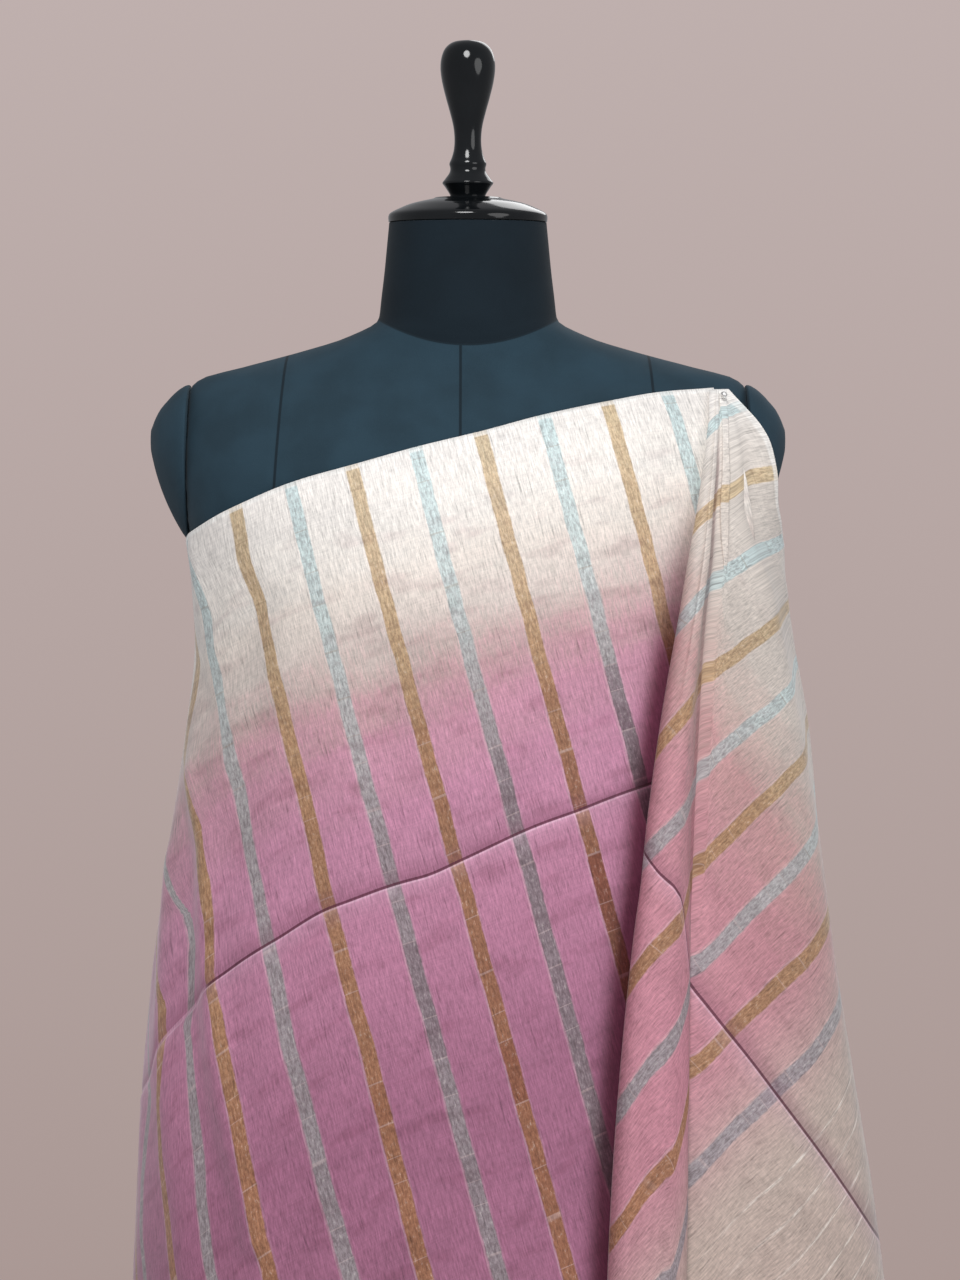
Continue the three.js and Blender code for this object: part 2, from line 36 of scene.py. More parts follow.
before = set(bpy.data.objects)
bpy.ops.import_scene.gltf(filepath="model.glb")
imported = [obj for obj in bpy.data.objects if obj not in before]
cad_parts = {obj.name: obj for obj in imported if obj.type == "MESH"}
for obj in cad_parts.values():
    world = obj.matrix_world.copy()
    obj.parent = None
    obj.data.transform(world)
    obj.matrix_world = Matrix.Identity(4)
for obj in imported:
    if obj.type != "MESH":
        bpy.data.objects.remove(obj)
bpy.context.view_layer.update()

# Cloth measures in millimetres
CLOTH_WIDTH = 1120
STRIPE_PITCH = 42
STORAGE_CREASE = 257
END_PIECE = 408
PALLU_END = 627
BACK_WRAP_LENGTH = 1040
FIRST_ROUND_START = 1700
FIRST_ROUND_LENGTH = 1400
PLEATS_START = 3200.0

# Places on the drape: along the level sections, or as a height
WEFT_LEAN = 0.2736
DROP_SHARE = 0.957
PIN_ALONG = 168
PIN_HEIGHT = 1397
SWEEP_END_ALONG = -430
SEAM_GAP = 0.3
FALL_LIFT = 1.4
HUG_SHARE = 0.55
SKIRT_HEM = 14
SKIRT_TOP = 1045
PLEATS_TOP = 1040


class Table:
    """Named columns of numbers, read smoothly between their rows."""

    def __init__(self, names, rows):
        self.names = names.split()
        self.rows = np.array(rows, float)
        rise = np.diff(self.rows, axis=0) / np.diff(self.rows[:, :1], axis=0)
        before, after = rise[:-1], rise[1:]
        both = np.where(before * after > 0, before + after, 1)
        inner = np.where(before * after > 0, 2 * before * after / both, 0)
        self.slopes = np.vstack([rise[:1], inner, rise[-1:]])

    def __call__(self, name, key):
        column = self.names.index(name)
        keys = self.rows[:, 0]
        held = np.clip(np.asarray(key, float), keys[0], keys[-1])
        i = np.clip(np.searchsorted(keys[1:], held), 0, len(keys) - 2)
        span = keys[i + 1] - keys[i]
        t = (held - keys[i]) / span
        ease = t * t * (3 - 2 * t)
        value = self.rows[i, column] * (1 - ease) + self.rows[i + 1, column] * ease
        value = value + self.slopes[i, column] * span * t * (1 - t) ** 2
        return value - self.slopes[i + 1, column] * span * t * t * (1 - t)


# Levels of the dress form
FORM = Table("height side front back roundness", [
    [780, 165, 115, 120, 2.3], [860, 176, 122, 129, 2.3], [960, 152, 110, 112, 2.2],
    [1050, 126, 92, 88, 2.1], [1120, 140, 104, 95, 2.2], [1190, 163, 122, 108, 2.4],
    [1245, 175, 130, 113, 2.4], [1296, 183, 119, 116, 2.4], [1320, 191, 110, 116, 2.2],
    [1346, 196, 98, 113, 2.2], [1375, 192, 82, 103, 2.0], [1392, 187, 70, 92, 1.8],
    [1402, 178, 62, 84, 1.6], [1411, 146, 59, 76, 1.55], [1420, 112, 57, 70, 1.6], [1430, 80, 56, 63, 1.8],
    [1442, 59, 56.5, 58, 2], [1456, 57.2, 55.4, 56.4, 2], [1472, 55.2, 54.4, 54.8, 2],
    [1490, 53.4, 53, 53.2, 2], [1505, 51.9, 51.8, 51.8, 2],
])

# Outer drape and first round of the skirt
DRAPE = Table("height left right front back roundness", [
    [15, 250, 312, 220, 218, 2.1], [150, 247, 310, 214, 212, 2.1], [300, 243, 304, 207, 203, 2.1],
    [500, 238, 296, 195, 186, 2.1], [700, 232, 283, 178, 162, 2.1], [842, 226, 266, 165, 144, 2.15],
    [930, 220.5, 251, 157, 133, 2.15], [1018, 211, 236, 150, 123, 2.2], [1093, 199.5, 226, 144, 117, 2.2],
    [1168, 188.5, 215.5, 139, 114, 2.25], [1228, 182, 205, 135.5, 116, 2.3],
    [1256, 183, 202.5, 133.5, 118, 2.35], [1296, 187, 205, 123, 120, 2.4], [1323, 194, 214, 114, 119, 2.3],
    [1346, 199, 222, 103, 116, 2.2], [1375, 194, 212, 88, 106, 2.0], [1392, 187, 190, 76, 95, 1.8],
    [1400, 178, 178, 71, 88, 1.8],
])
SKIRT = Table("height side front back", [
    [14, 240, 206, 206], [150, 232, 198, 197], [300, 224, 187, 186], [500, 212, 167, 167],
    [700, 198, 146, 148], [860, 184, 131, 138], [960, 163, 120, 121], [1045, 136, 102, 98],
])

# Upper selvedge of the front sweep, and how far down the cloth the storage crease lies
SWEEP_TOP = Table("along height", [
    [-430, 1224], [-400, 1240], [-350, 1264], [-300, 1282], [-254, 1290], [-200, 1305], [-153, 1323],
    [-111, 1339], [-68, 1351], [-32, 1361], [10, 1371], [47, 1380.5], [87, 1388.4], [131, 1395],
    [168, 1397],
])
CREASE_DROP = Table("along drop", [
    [-430, 349], [-344, 342], [-317, 327], [-295, 314], [-276, 302], [-240, 282], [-196, 268], [-152, 260],
    [-97, 260], [-70, 256], [-6, 246], [51, 242], [168, 236],
])

# Folds of the front sweep: height out of the cloth, half breadth, and the line as along and height
FOLDS = [
    (3.2, 13, [(-203, 1290), (-199, 1271), (-187, 1234), (-187, 1200)]),
    (-4.2, 17, [(-140, 1262), (-158, 1218), (-190, 1196)]),
    (4, 11, [(-212, 1146), (-184, 1105), (-180, 1040), (-176, 1015), (-163, 945), (-140, 860)]),
    (-2.2, 12, [(-222, 1120), (-204, 1085), (-200, 1030), (-192, 975), (-178, 900)]),
    (3, 16, [(-244, 1080), (-232, 1000), (-214, 900), (-180, 780)]),
    (-2.5, 26, [(-56, 1246), (-44, 1200)]),
    (-2.5, 26, [(62, 1225), (72, 1180)]),
    (5, 30, [(-120, 620), (-40, 330), (-10, 220)]),
    (6, 34, [(-270, 560), (-215, 300), (-190, 180)]),
    (-5, 30, [(-190, 600), (-125, 330), (-100, 200)]),
    (6, 36, [(-370, 600), (-330, 300), (-315, 160)]),
    (5, 30, [(190, 640), (250, 420), (280, 300)]),
]

# Stripes that the folds at the left side bend: cloth length from the pin, and the line as along and height
BENT_STRIPES = [
    (-541, [
        (-385, 1247), (-358, 1160), (-325, 1060), (-292, 990), (-266, 962), (-250, 948), (-245, 930),
        (-253, 903), (-261, 871), (-261, 837), (-254, 808),
    ]),
    (-499, [
        (-343, 1266), (-322, 1200), (-298, 1110), (-276, 1040), (-245, 1016), (-222, 996), (-221, 975),
        (-226, 955), (-229, 929), (-224, 894), (-215, 858), (-208, 828),
    ]),
    (-457, [
        (-300, 1282), (-286, 1225), (-274, 1150), (-262, 1092), (-228, 1068), (-202, 1056), (-193, 1040),
        (-197, 1002), (-202, 984), (-197, 962), (-190, 926), (-183, 886), (-176, 838),
    ]),
    (-415, [
        (-258, 1290), (-222, 1236), (-209, 1219), (-222, 1185), (-234, 1156), (-214, 1140), (-190, 1116),
        (-180, 1082), (-177, 1050), (-175, 1021), (-168, 997), (-158, 955), (-146, 908), (-133, 853),
    ]),
    (-373, [
        (-216, 1292), (-199, 1271), (-188, 1252), (-186, 1234), (-182, 1204), (-167, 1178), (-154, 1144),
        (-143, 1095), (-133, 1062), (-124, 1024), (-115, 984), (-103, 945), (-90, 898), (-76, 851),
    ]),
    (-331, [
        (-153, 1323), (-147, 1289), (-139, 1263), (-133, 1241), (-124, 1212), (-114, 1177), (-104, 1141),
        (-93, 1095), (-79, 1043), (-63, 988), (-49, 932), (-38, 890), (-28, 850),
    ]),
]

# Fall from the shoulder: places along the section of the fold, the tuck and the free selvedge
FALL_LINES = Table("height fold tuck edge tucked fullness ripple hug", [
    [80, 75, 130, 640, 1, 1, 1, 0], [300, 76, 130, 640, 1, 1, 1, 0], [500, 79, 130, 630, 1, 1, 1, 0],
    [700, 83, 132, 600, 1, 1, 1, 0], [790, 85, 133, 573, 1, 1, 1, 0], [853, 87, 134, 548, 1, 1, 1, 0],
    [914, 90, 135, 523, 0.9, 1, 1, 0], [992, 96, 136.5, 489, 0.66, 1, 1, 0],
    [1058, 103, 138, 460, 0.3, 1, 1, 0], [1090, 107.5, 138.5, 443, 0.06, 1, 1, 0],
    [1125, 111, 139.5, 424, 0, 1, 0.9, 0], [1190, 120, 143, 378, 0, 1, 0.6, 0],
    [1256, 132, 148, 314, 0, 1, 0.2, 0.1], [1290, 138, 152, 258, 0, 1, 0, 0.5],
    [1302, 140.5, 153, 237, 0, 0.96, 0, 0.7], [1323, 145, 155, 216, 0, 0.85, 0, 0.8],
    [1346, 149.5, 158, 208.5, 0, 0.72, 0, 0.8], [1363, 153, 160, 204, 0, 0.62, 0, 0.8],
    [1385, 158, 164, 188, 0, 0.52, 0, 0.8], [1397, 161, 166.5, 178, 0, 0.5, 0, 0.8],
])
# Section of the fall: cloth angle at the pin, the lines it lies between, the share of the way from the first,
# shift and layer where it hangs loose, the same where it is tucked, and ripple
FALL_SECTION = [
    (15, "start", "fold", 0, 0, 4, 0, 4, 0), (17.8, "start", "fold", 0.12, 0, 4, 0, 4, 0),
    (20.5, "start", "fold", 0.24, 0, 4, 0, 4, 0), (23.2, "start", "fold", 0.36, 0, 4, 0, 4, 0),
    (26, "start", "fold", 0.48, 0, 4, 0, 4, 0), (28.6, "start", "fold", 0.6, 0, 4, 0, 4, 0),
    (31.3, "start", "fold", 0.74, 0, 4, 0, 4, 0), (35, "fold", "tuck", 0, 16, 4.1, 16, 4.1, 0),
    (36.6, "fold", "tuck", 0, 6, 4.4, 6, 4.4, 0), (37.2, "fold", "tuck", 0, 1.6, 5.6, 1.6, 5.6, 0),
    (37.5, "fold", "tuck", 0, 0, 8.6, 0, 8.6, 0), (38, "fold", "tuck", 0, 1.4, 12, 1.4, 13, 0),
    (39, "fold", "tuck", 0, 5.5, 15.6, 5.5, 17.6, 0), (41, "fold", "tuck", 0.36, 0, 17.8, 0, 20.6, 0),
    (43, "fold", "tuck", 0.62, 0, 16.8, 0, 20.4, 0), (45, "fold", "tuck", 0.86, -1, 12.4, -1, 18, 0),
    (46.2, "tuck", "edge", 0, -1, 9.2, 0.2, 15.6, 0), (46.8, "tuck", "edge", 0, 1, 7.2, 0.6, 13.6, 0),
    (47.4, "tuck", "edge", 0, 3, 6.2, -1.4, 12.2, 0), (50, "tuck", "edge", 0, 5.5, 6.2, -13.5, 11.4, 0),
    (50.6, "tuck", "edge", 0, 8, 7, -16, 10, 0), (51.2, "tuck", "edge", 0, 10.5, 8, -13.5, 8.6, 0),
    (54, "tuck", "edge", 0, 13, 9, 4, 8.2, 0), (56.5, "tuck", "edge", 0.1, 0, 9.6, 0, 8.6, 0),
    (59.5, "tuck", "edge", 0.19, 0, 9, 0, 9, 0), (62.5, "tuck", "edge", 0.28, 0, 10.5, 0, 11, 0),
    (65.5, "tuck", "edge", 0.37, 0, 12, 0, 13, 0), (68.5, "tuck", "edge", 0.46, 0, 9, 0, 9.4, 0),
    (71.5, "tuck", "edge", 0.55, 0, 8, 0, 8, 2), (74.5, "tuck", "edge", 0.64, 0, 8, 0, 8, 9),
    (78, "tuck", "edge", 0.73, 0, 8, 0, 8, 3), (82, "tuck", "edge", 0.82, 0, 8, 0, 8, 1),
    (86, "tuck", "edge", 0.91, 0, 8, 0, 8, 8), (90, "tuck", "edge", 1, 0, 8, 0, 8, 3),
]
FALL_BOTTOM = Table("angle height", [
    [15, 280], [23, 190], [31.3, 90], [34, 180], [37.5, 285], [45, 425], [52, 540], [60, 640], [68, 703],
    [76, 747], [84, 777], [90, 792],
])
ROLL_ANGLE = 37.2
VALLEY_ANGLE = 47.4
EDGE_ANGLE = 90
FALL_ROWS = 194

# Heights on the fall, by cloth angle at the pin, where the upper selvedge, the crease and each stripe pass
STRIPE_LENGTHS = (47, 89, 131, 173, 215, 257, 299, 341, 383)
FALL_MARKS = Table("angle top crease 47 89 131 173 215 257 299 341 383", [
    [37.2, 1397, 1112, 1369, 1310, 1247, 1170, 1103, 1023, 945, 866, 800],
    [39, 1397, 1100, 1376, 1321, 1263, 1188, 1116, 1042, 962, 882, 815],
    [41, 1397, 1094, 1376, 1321, 1265, 1193, 1123, 1053, 979, 901, 829],
    [43, 1397, 1086, 1377, 1323, 1269, 1200, 1131, 1062, 990, 914, 842],
    [45, 1397, 1071, 1377, 1323, 1269, 1203, 1136, 1069, 1003, 926, 852],
    [46.8, 1397, 1024, 1378, 1325, 1272, 1212, 1145, 1088, 1029, 968, 900],
    [50.6, 1397, 1028, 1381, 1329, 1277, 1220, 1159, 1099, 1033, 970, 900],
    [54, 1392, 1017, 1382, 1331, 1280, 1222, 1164, 1104, 1037, 972, 901],
    [56.5, 1380, 984, 1382, 1331, 1281, 1226, 1174, 1117, 1057, 995, 931],
    [59.5, 1360, 941, 1382, 1332, 1285, 1234, 1185, 1133, 1075, 1015, 950],
    [62.5, 1340, 894, 1383, 1334, 1289, 1241, 1194, 1146, 1089, 1029, 969],
    [65.5, 1320, 846, 1383, 1337, 1292, 1247, 1202, 1156, 1104, 1045, 988],
    [71.5, 1302, 800, 1384, 1341, 1294, 1252, 1212, 1170, 1122, 1068, 1014],
    [78, 1302, 720, 1385, 1342, 1296, 1257, 1220, 1181, 1137, 1086, 1036],
    [90, 1302, 640, 1386, 1343, 1298, 1262, 1228, 1193, 1156, 1112, 1068],
])

BACK_WRAP = Table("share top bottom", [
    [0, 1224, 152.16], [0.2, 1172, 110], [0.4, 1112, 74], [0.6, 1066, 40], [0.78, 1049, 20], [1, 1046, 15],
])
BACK_WRAP_START = 74
BACK_WRAP_LIFT = 5

PLEAT_COUNT = 7
PLEAT_PITCH = 19
PLEAT_LEFT = -84
PLEAT_LIFT = 1.5
PLEAT_SECTION = [(0, 0.5), (9, 1.6), (17, 5.2), (30, 7.2), (33, 6.4), (32, 4.7), (20.5, 3.6)]
PLEAT_SPREAD = Table("height spread depth", [[14, 1.12, 1.3], [500, 1, 1.1], [1040, 0.66, 0.8]])

ARMHOLE_SIDE = 184
ARMHOLE_LOW = 1284
ARMHOLE_HIGH = 1408
CAP_RINGS = [
    (0.99, 0.3, 0), (1, 1.6, 0), (0.94, 5.5, 1.5), (0.82, 10.5, 4), (0.67, 15.5, 6.5), (0.51, 20, 9.5),
    (0.34, 23.5, 12), (0.16, 26.3, 14.5),
]
CAP_HALF_HEIGHT = 51.8
CAP_HALF_DEPTH = 44
CAP_MIDDLE = 1346.6

# Jersey seams in metres: neck seam in front and behind, front seam and side-front seams
NECK_SEAM_FRONT = 1.4256
NECK_SEAM_BACK = 1.441
FRONT_SEAM_SIDE = 0.0045
PANEL_SEAM_SIDE = 0.119
PANEL_SEAM_HEIGHT = 1.42

# Turned parts as radius and height
NECK_CAP = [
    (46, 1505.4), (51.6, 1505.4), (52.4, 1506.4), (52.4, 1509.6), (50.6, 1511.8), (45, 1514.6),
    (38, 1517.4), (30, 1519.4), (24, 1520.6), (21.5, 1521.6),
]
FINIAL = [
    (11.5, 1522), (12.2, 1524), (15.2, 1528.6), (16.8, 1531), (15.2, 1533.4), (12.2, 1537.6),
    (11.6, 1540.6), (12.2, 1543.6), (10.6, 1547.6), (9.2, 1553), (8.8, 1560), (9.6, 1568), (11.8, 1577),
    (14.6, 1587), (17, 1597), (18, 1605.5), (17.3, 1612.5), (14.8, 1618.4), (9.5, 1622.4), (1, 1623.6),
]
BASE = [(160, 0.1), (168.5, 0.1), (170, 1.5), (170, 9), (167, 12.8), (162, 14)]
POLE = [
    (28, 14.3), (30, 14.6), (30, 23), (29, 24.5), (22, 34), (17, 41), (16, 43), (16, 766), (17, 768),
    (33, 771.6), (34, 772.4), (34, 779.4), (33, 779.7),
]


class Levels:
    """Level sections of a draped shape, read by the length along them from the front middle."""

    STEP = 3
    SAMPLES = 2400
    REACH = 5

    def __init__(self, sizes, low=0, high=1425):
        self.low = low
        self.heights = np.arange(low, high + self.STEP, self.STEP, dtype=float)
        size = {name: np.asarray(value, float)[:, None] for name, value in sizes(self.heights).items()}
        angles = np.linspace(0, 2 * math.pi, 1441)[None, :]
        x, y = outline(size, angles)
        steps = np.hypot(np.diff(x, axis=1), np.diff(y, axis=1))
        lengths = np.concatenate([np.zeros((len(x), 1)), np.cumsum(steps, axis=1)], axis=1)
        self.total = lengths[:, -1]
        share = np.linspace(0, 1, self.SAMPLES + 1)
        self.x, self.y = (
            np.array([np.interp(share * t, run, line) for t, run, line in zip(self.total, lengths, lines)])
            for lines in (x, y))
        dx, dy = (
            np.roll(grid[:, :-1], -self.REACH, axis=1) - np.roll(grid[:, :-1], self.REACH, axis=1)
            for grid in (self.x, self.y))
        size = np.hypot(dx, dy)
        self.nx = np.pad(dy / size, ((0, 0), (0, 1)), mode="wrap")
        self.ny = np.pad(-dx / size, ((0, 0), (0, 1)), mode="wrap")

    def length(self, height):
        return np.interp(height, self.heights, self.total)

    def at(self, along, height, out=0.0):
        along, height, out = np.broadcast_arrays(*(np.asarray(v, float) for v in (along, height, out)))
        level = np.clip((height - self.low) / self.STEP, 0, len(self.heights) - 1.001)
        k = level.astype(int)
        rise = level - k
        found = 0
        for row, weight in ((k, 1 - rise), (k + 1, rise)):
            place = (along / self.total[row]) % 1.0 * self.SAMPLES
            i = np.minimum(place.astype(int), self.SAMPLES - 1)
            t = place - i
            grids = (self.x, self.y, self.nx, self.ny)
            values = [grid[row, i] * (1 - t) + grid[row, i + 1] * t for grid in grids]
            found = found + weight * np.array(values)
        x, y, nx, ny = found
        return np.stack([x + nx * out, y + ny * out, height], axis=-1)


def outline(size, angle):
    """Points of a rounded outline at angles from the front middle."""
    power = 2 / size["roundness"]
    across, ahead = np.sin(angle), np.cos(angle)
    half = np.where(across >= 0, size["right"], size["left"])
    front = np.where(across >= 0, size["front"], size.get("front_left", size["front"]))
    back = np.where(across >= 0, size.get("back_right", size["back"]), size["back"])
    depth = np.where(ahead >= 0, front, back)
    x = half * np.sign(across) * np.abs(across) ** power
    return x, -depth * np.sign(ahead) * np.abs(ahead) ** power


def drape_sizes(height):
    size = {name: DRAPE(name, height) for name in ("left", "right", "front", "back", "roundness")}
    return {**size, "back_right": size["back"] + 8}


def skirt_sizes(height):
    side, front, back = (SKIRT(name, height) for name in ("side", "front", "back"))
    return {"left": side, "right": side, "front": front, "back": back, "roundness": np.full_like(height, 2.1)}


def back_wrap_sizes(height):
    return {
        "left": DRAPE("left", height), "right": SKIRT("side", height) + BACK_WRAP_LIFT,
        "front": SKIRT("front", height) + BACK_WRAP_LIFT, "front_left": DRAPE("front", height),
        "back": DRAPE("back", height), "roundness": DRAPE("roundness", height),
    }


def form_sizes(height):
    side, front, back, roundness = (FORM(name, height) for name in ("side", "front", "back", "roundness"))
    return {"left": side, "right": side, "front": front, "back": back, "roundness": roundness}


DRAPE_LEVELS = Levels(drape_sizes)
SKIRT_LEVELS = Levels(skirt_sizes)
BACK_LEVELS = Levels(back_wrap_sizes)


def line_distance(line, along, height):
    """Distance from points to a line of short pieces."""
    nearest = np.full(np.shape(along), np.inf)
    for (a0, h0), (a1, h1) in zip(line[:-1], line[1:]):
        da, dh = a1 - a0, h1 - h0
        t = np.clip(((along - a0) * da + (height - h0) * dh) / (da * da + dh * dh), 0, 1)
        nearest = np.minimum(nearest, np.hypot(along - a0 - t * da, height - h0 - t * dh))
    return nearest


def fold_relief(along, height):
    relief = np.zeros(np.broadcast(along, height).shape)
    for out, breadth, line in FOLDS:
        relief += out * np.exp(-(line_distance(line, along, height) / breadth) ** 2)
    return relief


def soft_waves(along, height, seed, count=7, low=26, high=80, out=0.35):
    """Small uneven rises of loose cloth, running mostly down it."""
    chance = np.random.default_rng(seed)
    relief = np.zeros(np.broadcast(along, height).shape)
    for _ in range(count):
        wave = chance.uniform(low, high)
        lean = chance.uniform(-0.7, 0.9)
        phase = chance.uniform(0, 2 * math.pi)
        slow = chance.uniform(120, 260)
        shift = chance.uniform(0, 2 * math.pi)
        swell = 0.5 + 0.5 * np.sin(2 * math.pi * (height + 0.4 * along) / slow + shift)
        relief += out * swell * np.sin(2 * math.pi * (along + lean * height) / wave + phase)
    return relief


def cloth_length(start):
    """Length along the selvedge from the pin to a place on the upper border, negative to the left."""
    places = np.linspace(SWEEP_END_ALONG, PIN_ALONG, 600)
    steps = np.hypot(np.diff(places), np.diff(SWEEP_TOP("height", places)))
    run = np.concatenate([[0], np.cumsum(steps)])
    inside = np.interp(start, places, run - run[-1])
    return inside + np.minimum(start - SWEEP_END_ALONG, 0) * 1.1 + np.maximum(start - PIN_ALONG, 0)


def straight_stripe(start, height):
    """Place along the level sections of a stripe that hangs from a place on the upper border."""
    return start + (SWEEP_TOP("height", start) - height) * WEFT_LEAN


def sweep_length(along, height):
    """Length along the cloth from the pin at points of the front sweep, read between its stripes."""
    places = np.linspace(SWEEP_END_ALONG - 60, PIN_ALONG + 60, 800)
    starts = {}
    for length in range(BENT_STRIPES[0][0] - STRIPE_PITCH, 60, STRIPE_PITCH):
        starts[length] = float(np.interp(length, cloth_length(places), places))
    bent = dict(BENT_STRIPES)
    lines = []
    for length, start in starts.items():
        line = straight_stripe(start, height)
        if length in bent:
            spots = np.array(bent[length])[::-1]
            end, end_height = spots[0]
            line = np.interp(height, spots[:, 1], spots[:, 0])
            below = end + (end_height - height) * WEFT_LEAN
            line = np.where(height < end_height, below, line)
        lines.append(line)
    marks = list(starts)
    slope = STRIPE_PITCH / 40.0
    found = marks[0] + np.minimum(along - lines[0], 0) * slope + np.maximum(along - lines[-1], 0) * slope
    for left, right in zip(lines[:-1], lines[1:]):
        found = found + STRIPE_PITCH * np.clip((along - left) / np.maximum(right - left, 4), 0, 1)
    return found


def crease_line(cloth_drop):
    """Sharp valley of the storage crease with a raised lip below it."""
    valley = -1.0 * np.exp(-((cloth_drop - STORAGE_CREASE) / 1.9) ** 2)
    return valley + 0.4 * np.exp(-((cloth_drop - STORAGE_CREASE - 5) / 4) ** 2)


def spread_values(stops, step):
    """Values from the first stop to the last, about one step apart in each stretch: (value, step scale)."""
    found = [stops[0][0]]
    for (low, scale), (high, _) in zip(stops[:-1], stops[1:]):
        count = max(1, round((high - low) / (step * scale)))
        found += [low + (high - low) * (i + 1) / count for i in range(count)]
    return np.array(found)


def select_only(piece):
    bpy.ops.object.select_all(action="DESELECT")
    piece.select_set(True)
    bpy.context.view_layer.objects.active = piece


def cloth_grid(name, points, lengths, drops, painted_shades=None):
    """A sheet on a grid of points in millimetres, rows from the bottom up, with its cloth measures as a map.

    Painted shades give each point's painted shade, from 0 to 1, by how deep in a valley of the drape it lies."""
    rows, columns = points.shape[:2]
    bpy.ops.object.select_all(action="DESELECT")
    bpy.ops.mesh.primitive_grid_add(x_subdivisions=columns - 1, y_subdivisions=rows - 1, size=1)
    piece = bpy.context.object
    piece.name = name
    mesh = piece.data
    mesh.name = name
    mesh.vertices.foreach_set("co", (points.reshape(-1, 3) / 1000).astype(np.float32).ravel())
    cloth_map = mesh.uv_layers[0]
    cloth_map.name = "Cloth"
    corners = np.empty(len(mesh.loops), int)
    mesh.loops.foreach_get("vertex_index", corners)
    place = np.stack([lengths.ravel(), drops.ravel()], axis=-1)[corners] / 1000
    cloth_map.data.foreach_set("uv", place.astype(np.float32).ravel())
    if painted_shades is not None:
        painted_shade = mesh.attributes.new("PaintedShade", "FLOAT", "POINT")
        painted_shade.data.foreach_set("value", painted_shades.astype(np.float32).ravel())
    mesh.update()
    return piece


def close_round(piece):
    """Joins the two side borders of a grid that goes all the way round."""
    select_only(piece)
    bpy.ops.object.mode_set(mode="EDIT")
    bpy.ops.mesh.select_all(action="SELECT")
    bpy.ops.mesh.remove_doubles(threshold=0.00002)
    bpy.ops.object.mode_set(mode="OBJECT")


def apply_modifier(piece, kind, **values):
    select_only(piece)
    modifier = piece.modifiers.new(kind.title(), kind)
    for name, value in values.items():
        setattr(modifier, name, value)
    bpy.ops.object.modifier_apply(modifier=modifier.name)


def finish_cloth(piece, thickness):
    """Gives a sheet its thickness and smooth faces."""
    apply_modifier(piece, "SOLIDIFY", thickness=thickness, offset=0.0, use_even_offset=False)
    select_only(piece)
    bpy.ops.object.shade_smooth()


def belongs(piece, nodes, material):
    piece.data.materials.clear()
    piece.data.materials.append(material)
    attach(piece, "root")
    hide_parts(*nodes)


def eased(first, second, leaving, arriving, t):
    """Place at share t of a smooth curve between two points, with the slopes at its ends."""
    ease = t * t * (3 - 2 * t)
    straight = first * (1 - ease) + second * ease
    return straight + leaving * t * (1 - t) ** 2 - arriving * t * t * (1 - t)


def refined(points, most=3.4):
    """Points of control columns joined by smooth curves across the columns."""
    steps = np.linalg.norm(np.diff(points[..., :3], axis=0), axis=-1)
    counts = np.clip(np.ceil(np.percentile(steps, 80, axis=1) / most), 3, 9).astype(int)
    safe = np.maximum(steps, 0.05)[..., None]
    rises = np.diff(points, axis=0) / safe
    inner = (rises[:-1] * safe[1:] + rises[1:] * safe[:-1]) / (safe[1:] + safe[:-1])
    slopes = np.concatenate([rises[:1], inner, rises[-1:]])
    found = []
    for i, count in enumerate(counts):
        for t in np.arange(count) / count:
            found.append(eased(points[i], points[i + 1], slopes[i] * safe[i], slopes[i + 1] * safe[i], t))
    found.append(points[-1])
    return np.array(found)


def front_sweep_grid():
    start = spread_values([(SWEEP_END_ALONG, 1.25), (-310, 1), (PIN_ALONG, 1)], 3.4)[None, :]
    row = spread_values([(0, 1), (245, 0.5), (275, 1), (590, 2.2), (CLOTH_WIDTH, 1)], 3.5)[::-1][:, None]
    crease = CREASE_DROP("drop", start)
    lower = crease + (row - STORAGE_CREASE) * (CLOTH_WIDTH - crease) / (CLOTH_WIDTH - STORAGE_CREASE)
    drop = np.where(row <= STORAGE_CREASE, row * crease / STORAGE_CREASE, lower)
    fall = drop * DROP_SHARE
    height = SWEEP_TOP("height", start) - fall
    along = start + fall * WEFT_LEAN
    inside = np.clip(fall / 30, 0, 1) * np.clip((along - SWEEP_END_ALONG) / 60, 0, 1)
    out = fold_relief(along, height) + crease_line(row + 0 * start) + soft_waves(along, height, 5) * inside
    points = DRAPE_LEVELS.at(along, height, out)
    # Painted shade on the sweep beside the fall's rolled edge, fading out upwards, kept as an attribute that
    # darkens the silk.
    beside_roll = np.clip((FALL_LINES("fold", height) - 3 - along) / 9, 0, 4)
    painted_shade = np.exp(-beside_roll ** 2) * np.clip((1335 - height) / 110, 0, 1)
    return points, sweep_length(along, height), row + 0 * start, painted_shade


def fall_places(height):
    """Places along the level sections of the lines that the fall's section lies between."""
    places = {name: FALL_LINES(name, height) for name in ("fold", "tuck", "edge")}
    places["start"] = PIN_ALONG + (PIN_HEIGHT - height) * WEFT_LEAN - 2
    return places


def fall_measures(angle, height):
    """Length along the cloth and distance from the upper selvedge, at heights on one line of the fall."""
    spots = [(float(FALL_MARKS(str(length), angle)), length) for length in reversed(STRIPE_LENGTHS)]
    slope = (spots[0][1] - spots[1][1]) / (spots[0][0] - spots[1][0])
    spots = [(spots[0][0] - 800, spots[0][1] - 800 * slope)] + spots + [(PIN_HEIGHT, 22)]
    top, crease = FALL_MARKS("top", angle), FALL_MARKS("crease", angle)
    drop = np.maximum(STORAGE_CREASE * (top - height) / (top - crease), (PIN_HEIGHT - height) * 0.3)
    return Table("height length", spots)("length", height), drop


def fall_painted_shade(angle, height):
    """Painted shade on points of the fall, by how deep they lie in the valley beside its roll and under the
    roll's edge.
    """
    valley = math.exp(-((angle - VALLEY_ANGLE) / 1.9) ** 2) * np.clip((1372 - height) / 50, 0, 0.5)
    under_roll = math.exp(-(max(angle - ROLL_ANGLE, 0) / 1.1) ** 2)
    return valley + under_roll * np.clip((1320 - height) / 120, 0, 0.6)


